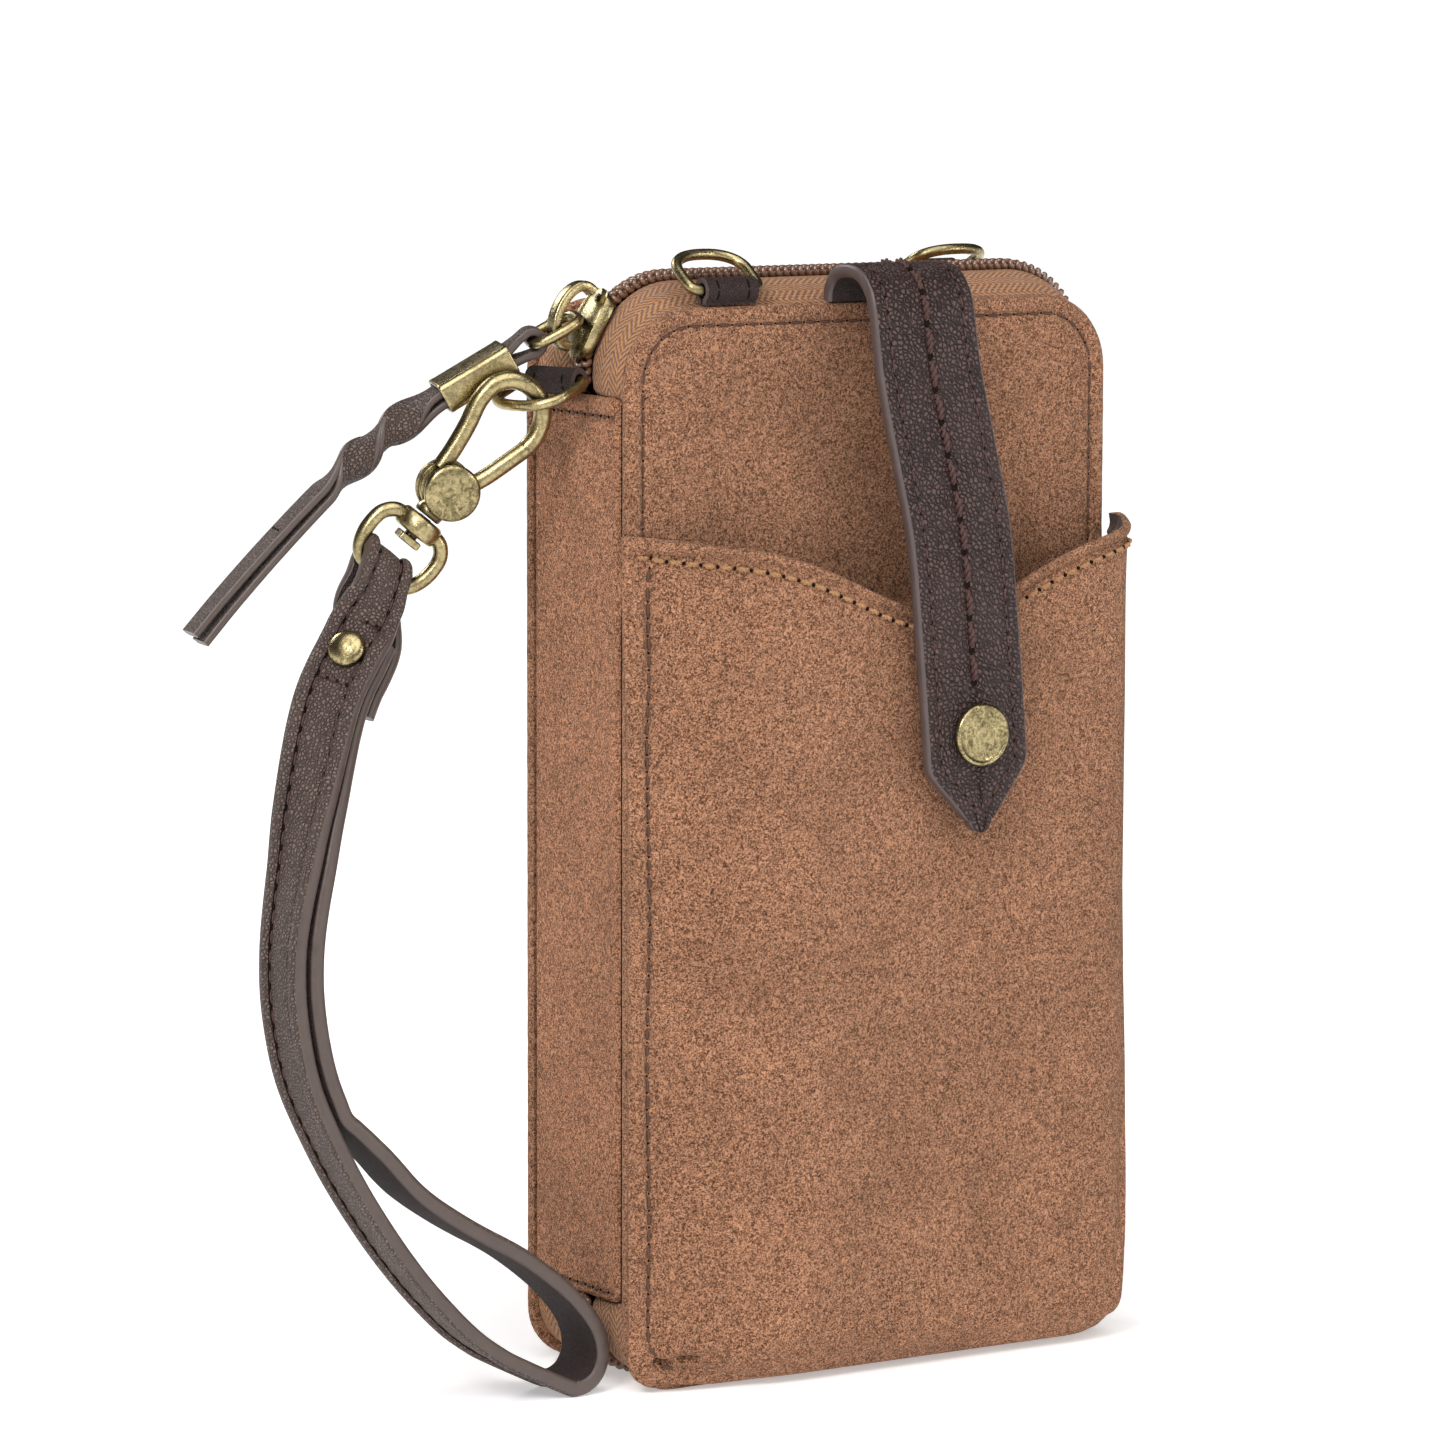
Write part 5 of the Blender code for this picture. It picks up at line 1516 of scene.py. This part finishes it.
def add_flat_wire(shape, path, side, half_width, half_height):
    """A bar of rounded square section along a path."""
    side = Vector(side)
    rings = []
    for point, along in zip(path, tangents(path)):
        across = crosswise(side, along)
        up = along.cross(across)
        ring = []
        for k in range(20):
            angle = 2 * math.pi * (k + 0.5) / 20
            ring.append(point + across * half_width * bulged(math.cos(angle), 0.45)
                        + up * half_height * bulged(math.sin(angle), 0.45))
        rings.append(ring)
    shape.loft(rings)


def build_link(materials):
    """The oval wire link between the slider's crown and the leather pull."""
    start = corner_point(ZIP_TOP_RADIUS + 2.8 + LINK_WIRE, SLIDER_ANGLE, COIL_SPLIT)
    along = (LINK_END - start).normalized()
    length = (LINK_END - start).length
    across = crosswise(Vector((0.0, 1.0, 0.0)), along)
    path = []
    for k in range(80):
        angle = 2 * math.pi * (k + 0.5) / 80
        u = 0.5 * length * (1.0 - bulged(math.cos(angle), 0.7))
        path.append(start + along * u
                    + across * LINK_HALF_WIDTH * bulged(math.sin(angle), 0.6))
    shape = Shape()
    add_tube(shape, path, LINK_WIRE, along.cross(across), closed=True, sides=14)
    settle_brass(shape, "pull_link", "slider_link", materials, angle=80.0, ending="_wire")


def thong_layers():
    """Frames of the pull's leather: up the near layer, round the link and down the other."""
    centre = smooth(THONG_ROUTE, 16)
    runs = tangents(centre)
    upper = []
    lower = []
    travelled = 0.0
    for i, (point, run) in enumerate(zip(centre, runs)):
        if i:
            travelled += (point - centre[i - 1]).length
        across = crosswise(THONG_ACROSS, run)
        normal = across.cross(run)
        turn = 2 * math.pi * eased(travelled, *THONG_TWIST)
        wide = across * math.cos(turn) + normal * math.sin(turn)
        out = normal * math.cos(turn) - across * math.sin(turn)
        twist = dent(travelled - 0.5 * sum(THONG_TWIST), 9.0)
        share = i / (len(centre) - 1)
        spread = THONG_FOLD_RADIUS - 0.95 * min(share / 0.09, 1.0) + 0.45 * max(share - 0.6, 0.0)
        spread += 0.35 * twist
        half = THONG_FOLD_HALF_WIDTH + min(max(travelled - 1.8, 0.0) / 3.0, 1.0) * (
            0.5 * THONG_WIDTH - THONG_FOLD_HALF_WIDTH)
        upper.append((point + out * spread, wide, half, twist))
        lower.append((point - out * spread, wide, half, twist))
    across = crosswise(THONG_ACROSS, runs[0])
    normal = across.cross(runs[0])
    turn = []
    for k in range(1, 12):
        angle = math.pi * k / 12
        place = (LINK_END + normal * THONG_FOLD_RADIUS * math.cos(angle)
                 - runs[0] * THONG_FOLD_RADIUS * math.sin(angle))
        turn.append((place, across, THONG_FOLD_HALF_WIDTH, 0.0))
    return upper[::-1] + turn + lower


def thong_section(half, twist):
    """Soft-edged flat leather, its edges curled where it is twisted."""
    t = 0.5 * THONG_THICKNESS
    face = [(half * c, t * s) for c, s in ((1.0, 0.0), (0.985, 0.55), (0.93, 0.9), (0.8, 1.0),
                                           (0.55, 1.02), (0.25, 1.04), (0.0, 1.05))]
    top = face + [(-u, v) for u, v in reversed(face[:-1])]
    ring = top + [(u, -v) for u, v in reversed(top[1:-1])]
    return [(u, v - 0.5 * twist * (u / half) ** 2) for u, v in ring]


def build_pull(materials):
    """The folded, twisted leather pull and the brass ferrule that grips it."""
    layers = thong_layers()
    runs = tangents([layer[0] for layer in layers])
    rings = []
    for (point, wide, half, twist), run in zip(layers, runs):
        across = crosswise(wide, run)
        out = run.cross(across)
        rings.append(ring_at(point, across, out, thong_section(half, twist)))
    count = len(rings[0])
    kinds = [1 if n in (0, 1, count // 2 - 2, count // 2 - 1, count // 2, count // 2 + 1,
                        count - 2, count - 1) else 0 for n in range(count)]
    shape = Shape()
    shape.loft(rings, kinds=kinds, cap_kind=1)
    settle(shape.build("pull_leather", [materials["grey"], materials["grey_paint"]], 60.0),
           "leather_pull", "grey_leather", "pull_thong")
    mark = Shape()
    station = len(layers) // 2 - PULL_MARK_STATION
    point, wide, _, _ = layers[station]
    run = runs[station]
    out = run.cross(crosswise(wide, run))
    for place in range(-1, 2):
        add_stitch(mark, point + wide * place * 1.3 + out * 0.66, out,
                   (wide + run * 0.25).normalized(), 0.95, 0.17, 0.0)
    settle(mark.build("pull_stitch_mark", [materials["hole"]]), "leather_pull", "grey_leather")
    build_ferrule(materials)


def rounded_box_ring(half_width, half_height, corner):
    """Points round a rectangle with round corners."""
    ring = []
    for cx, cy, begin in ((1, 1, 0), (-1, 1, 90), (-1, -1, 180), (1, -1, 270)):
        for k in range(BOX_CORNER_POINTS):
            angle = math.radians(begin + 90.0 * k / (BOX_CORNER_POINTS - 1))
            ring.append((cx * (half_width - corner) + corner * math.cos(angle),
                         cy * (half_height - corner) + corner * math.sin(angle)))
    return ring


def build_ferrule(materials):
    """The square brass tube on the pull, its rims slightly rolled."""
    axis = (Vector(THONG_ROUTE[2]) - LINK_END).normalized()
    across = crosswise(THONG_ACROSS, axis)
    normal = across.cross(axis)
    near = LINK_END + axis * FERRULE_START
    end = FERRULE_LENGTH
    profile = ((-0.3, 0.0), (-0.1, 0.0), (0.02, 0.12), (0.04, 0.45), (0.0, 0.9), (0.0, 4.0),
               (0.0, end - 4.0), (0.0, end - 0.9), (0.04, end - 0.45), (0.02, end - 0.12),
               (-0.1, end), (-0.3, end), (-FERRULE_WALL, end - 0.1), (-FERRULE_WALL, 0.1))
    rings = []
    for grow, place in profile:
        ring = rounded_box_ring(0.5 * FERRULE_SIZE[0] + grow, 0.5 * FERRULE_SIZE[1] + grow,
                                1.05 + grow)
        rings.append(ring_at(near + axis * place, across, normal, ring))
    shape = Shape()
    shape.loft(rings, closed=True)
    settle_brass(shape, "pull_ferrule", "leather_pull", materials, angle=50.0)


def spine_ring_axes():
    """Direction of the spine ring's flat side and of its bow."""
    along = Vector((0.34, -0.94, 0.0)).normalized()
    return along, crosswise(Vector((-0.882, -0.33, -0.336)), along)


def hook_centre():
    """Middle of the snap hook's boss."""
    out = spine_ring_axes()[1]
    return Vector(SPINE_TAB) + out * SPINE_RING_DEPTH - HOOK_ALONG * HOOK_HANG


def in_hook(points):
    """Turn (across, along) pairs into points of the hook's plane."""
    return ring_at(hook_centre(), HOOK_ACROSS, HOOK_ALONG, points)


def build_hook(materials):
    """The snap hook: its body, its two discs, the swivel post and the gate."""
    build_clasp_body(materials)
    build_clasp_discs(materials)
    build_swivel_post(materials)
    build_gate(materials)


def build_clasp_body(materials):
    """The hook's wire, the cheeks of its boss and its neck."""
    centre = hook_centre()
    body = Shape()
    add_tube(body, smooth(in_hook(HOOK_ROUTE), 9), HOOK_WIRE, HOOK_NORMAL, sides=24, step=-0.42)
    for low, high in ((-2.4, -1.15), (1.15, 2.4)):
        add_lathe(body, ((3.6, low), (4.0, low + 0.1), (4.15, low + 0.35), (4.15, high - 0.35),
                         (4.0, high - 0.1), (3.6, high)), centre, HOOK_NORMAL)
    add_lathe(body, ((2.05, -5.3), (2.3, -5.05), (2.35, -4.2), (2.0, -3.6), (2.2, -2.6)), centre,
              HOOK_ALONG)
    settle_brass(body, "clasp_body", "snap_hook", materials)


def build_clasp_discs(materials):
    """The flat cap on each side of the boss."""
    for node, way in (("clasp_disc_front", 1.0), ("clasp_disc_rear", -1.0)):
        disc = Shape()
        add_lathe(disc, ((4.1, 2.62), (4.42, 2.72), (4.5, 2.95), (4.5, 3.35), (4.4, 3.62),
                         (4.15, 3.84), (3.7, 3.97), (2.5, 4.07), (1.2, 4.11), (0.05, 4.12)),
                  hook_centre(), HOOK_NORMAL * way, sides=72)
        settle_brass(disc, node, "snap_hook", materials, "brass_face", 50.0)


def build_swivel_post(materials):
    """The square head and the stem that the loop turns on."""
    centre = hook_centre()
    post = Shape()
    head = [[centre + HOOK_ALONG * v + HOOK_ACROSS * a * grow + HOOK_NORMAL * b * grow
             for a, b in rounded_box_ring(1.95, 1.95, 0.55)]
            for v, grow in ((-10.6, 0.9), (-10.45, 1.0), (-9.5, 1.0), (-9.35, 0.9))]
    post.loft(head)
    add_lathe(post, ((1.1, -9.6), (1.1, -5.5)), centre, HOOK_ALONG, sides=24)
    settle_brass(post, "swivel_post", "snap_hook", materials)


def build_gate(materials):
    """The hook's gate and its knuckle on the pin."""
    gate = Shape()
    add_tube(gate, smooth(in_hook(GATE_ROUTE), 9), GATE_WIRE, HOOK_NORMAL, sides=24, step=0.42)
    add_lathe(gate, ((1.5, -1.0), (1.8, -0.8), (1.8, 0.8), (1.5, 1.0)), hook_centre(),
              HOOK_NORMAL)
    settle_brass(gate, "clasp_gate", "hook_gate", materials)


def build_swivel_loop(materials):
    """The turning loop that the wrist strap folds through, with its barrel collar."""
    whole = list(LOOP_ROUTE) + [(-u, v) for u, v in LOOP_ROUTE[-2::-1]]
    shape = Shape()
    add_tube(shape, smooth(in_hook(whole), 8), LOOP_WIRE, HOOK_NORMAL, sides=20)
    add_lathe(shape, ((2.9, -8.9), (3.35, -8.82), (3.6, -8.55), (3.72, -7.9), (3.76, -7.25),
                      (3.72, -6.6), (3.58, -6.0), (3.3, -5.72), (2.9, -5.6)), hook_centre(),
              HOOK_ALONG, sides=64)
    settle_brass(shape, "swivel_loop", "loop_end", materials)


def wrist_width(point):
    """Width direction of the wrist strap, which twists in two steps from the bight to the loop."""
    share = sum(part * eased(point.z, low, high) for low, high, part in WRIST_TWISTS)
    return (WRIST_FAR_WIDTH * (1.0 - share) + HOOK_ACROSS * share).normalized()


def wrist_stations():
    """The doubled strap's centre line: inner layer, bight, outer layer, fold and lap."""
    outer = smooth(WRIST_OUTER, 3)
    loop_foot = in_hook([(0.0, -LOOP_FOOT)])[0]
    inner = []
    lap = []
    for point, run in zip(outer, tangents(outer)):
        normal = crosswise(wrist_width(point), run).cross(run)
        if 46.0 < point.z < 123.6:
            inner.append(point + normal * WRIST_LAYER)
        if point.z > 109.0:
            lap.append(point + normal * 2 * WRIST_LAYER)
    bight = smooth((outer[-2],) + WRIST_BIGHT + (inner[-1],), 3)[3:-1]
    out = (outer[0] - lap[0]).normalized()
    rise = crosswise(loop_foot - 0.5 * (outer[0] + lap[0]), out)
    fold = []
    for k in range(9):
        angle = math.pi * k / 8
        fold.append(loop_foot + out * WRIST_LAYER * math.cos(angle)
                    + rise * WRIST_LAYER * math.sin(angle))
    return smooth(inner + bight[::-1] + outer[::-1][1:] + fold + lap, 5)


def wrist_section(half):
    """Cross-section of the wrist strap: rolled edges and a sunk middle on its finished side."""
    t = 0.5 * WRIST_THICKNESS
    scale = half / WRIST_HALF_WIDTH
    side = ((0.45, t), (0.12, t - 0.2), (0.0, 0.6), (-0.03, 0.0), (0.0, -0.55), (0.15, -t + 0.25),
            (0.5, -t - 0.06), (1.1, -t - 0.22), (1.65, -t - 0.2), (2.1, -t + 0.0),
            (2.4, -t + 0.4), (2.55, -t + 0.95), (2.75, -t + 0.8), (3.2, -t + 0.5))
    right = [(half - inset * scale, v) for inset, v in side]
    return right + [(0.0, -t + 0.42)] + [(-u, v) for u, v in reversed(right)]


def wrist_kinds(section, half):
    """0 for the face, 1 for smooth edges, 2 for the inner side and 3 for the sewn grooves, which
    take the near-black hole finish as painted shade.
    """
    kinds = []
    for (u0, v0), (u1, v1) in zip(section, section[1:] + section[:1]):
        inset = half - abs(0.5 * (u0 + u1))
        if v0 > 1.1 and v1 > 1.1:
            kinds.append(2)
        elif inset < 0.3:
            kinds.append(1)
        else:
            # Kind 3 is the near-black hole finish: painted shade in the sewn grooves.
            kinds.append(3 if 2.35 < inset < 2.8 else 0)
    return kinds


def build_wrist_strap(materials):
    """The doubled wrist strap with its sewn grooves."""
    path = wrist_stations()
    rings = []
    frames = []
    for point, run in zip(path, tangents(path)):
        share = min(max((point.z - 123.0) / 7.0, 0.0), 1.0)
        half = WRIST_HALF_WIDTH + (WRIST_FOLD_HALF_WIDTH - WRIST_HALF_WIDTH) * share
        wide = crosswise(wrist_width(point), run)
        out = run.cross(wide)
        worn = 0.1 * ripple(*point, 7.0)
        rings.append([point + wide * (u + worn) + out * v for u, v in wrist_section(half)])
        frames.append((point, wide, -out, half))
    shape = Shape()
    section = wrist_section(WRIST_HALF_WIDTH)
    shape.loft(rings, kinds=wrist_kinds(section, WRIST_HALF_WIDTH), cap_kind=1)
    settle(shape.build("wrist_strap_leather",
                       [materials["grey"], materials["grey_paint"], materials["rough"],
                        materials["hole"]], 50.0),
           "wristlet", "grey_leather", "wrist_strap")
    thread = Shape()
    depth = 0.5 * WRIST_THICKNESS - 0.78
    for side in (1.0, -1.0):
        line = [p + wide * side * (half * (1.0 - 2.62 / WRIST_HALF_WIDTH)) + face * depth
                for p, wide, face, half in frames]
        sew(thread, line, [f[2] for f in frames], pitch=3.1, radius=0.2, hole=0.27)
    build_rivet(thread, materials)
    settle_stitching(thread, "wrist_strap_stitching", "red_thread", "wristlet", "grey_leather",
                     materials)


def build_rivet(thread, materials):
    """The domed rivet through the strap's layers, between two rows of cross stitches."""
    outer = smooth(WRIST_OUTER, 3)
    place = outer[RIVET_STATION]
    run = tangents(outer)[RIVET_STATION]
    wide = crosswise(wrist_width(place), run)
    inward = wide.cross(run)
    for away in (-5.3, 5.3):
        start = place + run * away - inward * (0.5 * WRIST_THICKNESS - 0.42)
        line = [start + wide * u for u in (-2.7, -1.0, 1.0, 2.7)]
        sew(thread, line, [-inward] * 4, pitch=1.75, radius=0.26, hole=0.3)
    face = 0.5 * WRIST_THICKNESS + GAP
    far = 2 * WRIST_LAYER + face
    dome = [(3.0 * math.cos(t), -face - 1.45 * math.sin(t))
            for t in (0.5 * math.pi * k / 12 for k in range(12))]
    cap = Shape()
    add_lathe(cap, [(2.6, 0.9 - face), (2.9, 0.75 - face)] + dome + [(0.03, -face - 1.46)], place,
              inward)
    settle_brass(cap, "rivet_cap", "wristlet", materials, "brass_face", 50.0)
    post = Shape()
    add_lathe(post, ((0.95, 0.4 - face), (0.95, far - 0.05), (2.5, far), (2.7, far + 0.2),
                     (2.5, far + 0.6), (1.6, far + 0.85), (0.03, far + 0.9)), place, inward)
    settle_brass(post, "rivet_post", "wristlet", materials, angle=50.0)


def build_linings(materials):
    """Cloth linings, the slip pocket and the leather card pockets inside the wallet."""
    lining = (LEFT + LINING_INSET, RIGHT - LINING_INSET, LINING_INSET, HEIGHT - LINING_INSET,
              FOOT_RADIUS - 3.0, TOP_RADIUS - 3.0)
    low = FRONT_SEAM + GAP
    high = BACK_SEAM - GAP
    build_sheet("front_lining", lining, low, 1.0, LINING_THICKNESS, "front_half", "lining",
                [materials["lining"]])
    build_sheet("back_lining", lining, high, -1.0, LINING_THICKNESS, "back_half", "lining",
                [materials["lining"]])
    left = LEFT + INNER_POCKET_INSET
    right = RIGHT - INNER_POCKET_INSET
    foot = INNER_POCKET_INSET
    bounds = (left, right, foot, SLIP_POCKET_TOP, *INNER_POCKET_CORNERS)
    build_sheet("slip_pocket", bounds, low + LINING_THICKNESS + GAP, 1.0, CARD_POCKET_THICKNESS,
                "front_half", "lining", [materials["lining"]])
    leather = [materials["dark"]]
    for number, top in enumerate(CARD_POCKET_TOPS, start=1):
        face = high - LINING_THICKNESS - GAP - CARD_POCKET_STEP * (number - 1)
        bounds = (left, right, foot, top, *INNER_POCKET_CORNERS)
        build_sheet("card_pocket_%d" % number, bounds, face, -1.0, CARD_POCKET_THICKNESS,
                    "back_half", "dark_leather", leather)


def build_sheet(node, bounds, start, sign, thickness, body, slot, finishes):
    """A thin sewn sheet inside the wallet; sign is the way that its face looks along Y."""
    t = thickness

    def place(u, w, height, inset):
        soft = 0.12 * ripple(u, w, start, 24.0) if height > 0.5 * t else 0.0
        return Vector((u, start + sign * (height + min(soft, 0.1)), w))

    shape = Shape()
    profile = ((0.6, 0.0), (0.12, 0.02), (0.0, 0.3 * t), (0.0, 0.6 * t), (0.15, 0.93 * t),
               (0.5, t), (1.4, t), (1.75, 0.72 * t), (2.1, t), (4.0, t), (9.0, t), (16.0, t),
               (25.0, t), (34.0, t))
    add_plate(shape, bounds, profile, place)
    settle(shape.build(node + "_sheet", finishes), body, slot, node)


def build_spine_lining(materials):
    """The cloth inside the spine."""
    reach = BACK_SEAM - GAP - 3.0
    inner = LEFT + SPINE_THICKNESS + GAP

    def place(u, w, height, inset):
        return Vector((inner + height, u, w))

    shape = Shape()
    profile = ((0.5, 0.0), (0.05, 0.05), (0.0, 0.3), (0.1, 0.55), (0.5, 0.6), (3.0, 0.6),
               (6.0, 0.62), (9.5, 0.62))
    add_plate(shape, (-reach, reach, SPINE_FOOT + 3.0, SPINE_TOP - 3.0, 2.0, 2.0), profile, place)
    settle(shape.build("spine_lining_sheet", [materials["lining"]]), "back_half", "lining",
           "spine_lining")


def build_hinge_lining(materials):
    """The cloth that folds inside the front cover's hinge, from the spine to the cover."""
    side = LEFT + SPINE_THICKNESS + GAP
    cover = FRONT_SEAM + GAP
    line = smooth([(side, cover + 2.8, 0), (side, cover + 1.6, 0), (side + 0.4, cover + 0.5, 0),
                   (side + 1.4, cover + 0.1, 0), (side + 2.6, cover + 0.1, 0)], 4)
    up = Vector((0, 0, 1))
    inside = [point + up.cross(run) * HINGE_LINING_THICKNESS
              for point, run in zip(line, tangents(line))]
    levels = [SPINE_FOOT + 4.0 + HINGE_LINING_STEP * k for k in range(HINGE_LINING_LEVELS)]
    shape = Shape()
    shape.loft([[point + up * z for point in line + inside[::-1]] for z in levels])
    thing = shape.build("hinge_lining", [materials["lining"]])
    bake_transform(thing)


def finish_hidden_nodes(nodes, materials):
    """Brass for the small CAD nodes that stay as they are."""
    for name in PLAIN_BRASS_NODES:
        for slot in nodes[name].material_slots:
            slot.material = materials["brass"]


def build_camera():
    """The camera at the photograph's angle."""
    data = bpy.data.cameras.new("photo_camera")
    data.lens = CAMERA_LENS
    data.sensor_width = CAMERA_SENSOR
    data.clip_start = 0.05
    data.clip_end = 200.0
    camera = bpy.data.objects.new("photo_camera", data)
    bpy.context.scene.collection.objects.link(camera)
    look = (Vector(CAMERA_TARGET) - Vector(CAMERA_PLACE)).normalized()
    right = look.cross(Vector((0, 0, 1))).normalized()
    up = right.cross(look)
    roll = math.radians(CAMERA_ROLL)
    tilted = right * math.cos(roll) + up * math.sin(roll)
    axes = (tilted, tilted.cross(look), -look)
    matrix = Matrix([[axes[column][row] for column in range(3)] for row in range(3)]).to_4x4()
    matrix.translation = Vector(CAMERA_PLACE) * MM
    camera.matrix_world = matrix
    bpy.context.scene.camera = camera


def add_softbox(name, place, size, power):
    """A square area light aimed at the middle of the wallet."""
    data = bpy.data.lights.new(name, 'AREA')
    data.size = size * MM
    data.energy = power
    light = bpy.data.objects.new(name, data)
    light.location = Vector(place) * MM
    look = Vector(LIGHT_TARGET) - Vector(place)
    light.rotation_euler = look.to_track_quat('-Z', 'Y').to_euler()
    bpy.context.scene.collection.objects.link(light)


def build_studio():
    """Pale floor, soft lights and a pale surround."""
    build_floor()
    build_lights()
    build_surround()
    bpy.context.scene.view_settings.view_transform = 'Standard'


def build_floor():
    """A sheet of pale paper under the wallet."""
    mesh = bpy.data.meshes.new("floor")
    reach = FLOOR_REACH
    mesh.from_pydata([(-reach, -reach, 0), (reach, -reach, 0), (reach, reach, 0),
                      (-reach, reach, 0)], [], [(0, 1, 2, 3)])
    mesh.materials.append(floor_material())
    floor = bpy.data.objects.new("floor", mesh)
    bpy.context.scene.collection.objects.link(floor)


def build_lights():
    """A wide soft sun from above and three softboxes."""
    sun = bpy.data.lights.new("soft_sun", 'SUN')
    sun.energy = SUN_POWER
    sun.angle = math.radians(SUN_ANGLE)
    lamp = bpy.data.objects.new("soft_sun", sun)
    lamp.rotation_euler = Vector(SUN_AIM).to_track_quat('-Z', 'Y').to_euler()
    bpy.context.scene.collection.objects.link(lamp)
    for name, place, size, power in SOFTBOXES:
        add_softbox(name, place, size, power)


def build_surround():
    """A white surround: bright up to just over the horizon, dim overhead."""
    world = bpy.data.worlds.new("pale_surround")
    world.use_nodes = True
    nodes = world.node_tree.nodes
    links = world.node_tree.links
    background = nodes["Background"]
    split = nodes.new("ShaderNodeSeparateXYZ")
    links.new(nodes.new("ShaderNodeTexCoord").outputs["Generated"], split.inputs[0])
    brighter = nodes.new("ShaderNodeMath")
    brighter.operation = 'MAXIMUM'
    for socket, band in zip(brighter.inputs, (SKY_BAND, HORIZON_BAND)):
        level = nodes.new("ShaderNodeMapRange")
        links.new(split.outputs[2], level.inputs[0])
        for entry, number in zip(level.inputs[1:5], band):
            entry.default_value = number
        links.new(level.outputs[0], socket)
    background.inputs["Color"].default_value = (*WHITE, 1.0)
    links.new(brighter.outputs[0], background.inputs["Strength"])
    bpy.context.scene.world = world


def build_wallet(materials):
    """Covers, spine, linings, pocket, zip, and the rings in their tabs."""
    build_cover("front_cover", materials, "front_half", "front_panel", FRONT_SEAM, -1.0)
    build_cover("back_cover", materials, "back_half", "back_panel", BACK_SEAM, 1.0)
    build_spine(materials)
    build_linings(materials)
    build_spine_lining(materials)
    build_hinge_lining(materials)
    build_pocket(materials)
    reach = COIL_WIDTH + 1.5 * GAP
    build_tape("front_tape", FRONT_SEAM + GAP, COIL_SPLIT - reach, "front_half",
               "front_zip_tape", materials)
    build_tape("back_tape", BACK_SEAM - GAP, COIL_SPLIT + reach, "back_half", "back_zip_tape",
               materials)
    offset = 0.5 * (GAP + COIL_WIDTH)
    build_coil("front_coil", COIL_SPLIT - offset, 0.32, 0.0, "front_half", "front_zip_coil",
               materials)
    build_coil("back_coil", COIL_SPLIT + offset, -0.32, 0.5, "back_half", "back_zip_coil",
               materials)
    build_rings(materials)


def build_rings(materials):
    """The three D rings and their leather tabs."""
    sideways = (1.0, 0.0, 0.0)
    build_tab("front_ring_tab", FRONT_TAB, sideways, (0, 0, -1), TAB_LEG, TAB_LENGTH,
              (0, -1, 0), "front_half", materials)
    build_tab("back_ring_tab", BACK_TAB, sideways, (0, 0, -1), TAB_LEG, TAB_LENGTH,
              (0, 1, 0), "back_half", materials)
    along, out = spine_ring_axes()
    build_tab("spine_ring_tab", SPINE_TAB, along, (0.4, 0, -1.0), 2.0, 9.6, (-1, 0, 0),
              "back_half", materials)
    build_ring("front_ring", FRONT_TAB, sideways, (0.0, 0.82, 0.57), RING_DEPTH, "front_d_ring",
               materials)
    build_ring("back_ring", BACK_TAB, sideways, (0.0, -0.9, 0.44), RING_DEPTH, "back_d_ring",
               materials)
    build_ring("spine_ring", SPINE_TAB, along, out, SPINE_RING_DEPTH, "spine_d_ring", materials)


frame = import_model()
finishes = make_materials()
build_wallet(finishes)
build_closure_strap(finishes)
build_snap_cap(finishes)
build_slider(finishes)
build_link(finishes)
build_pull(finishes)
build_hook(finishes)
build_swivel_loop(finishes)
build_wrist_strap(finishes)
finish_hidden_nodes(frame["nodes"], finishes)
build_camera()
build_studio()
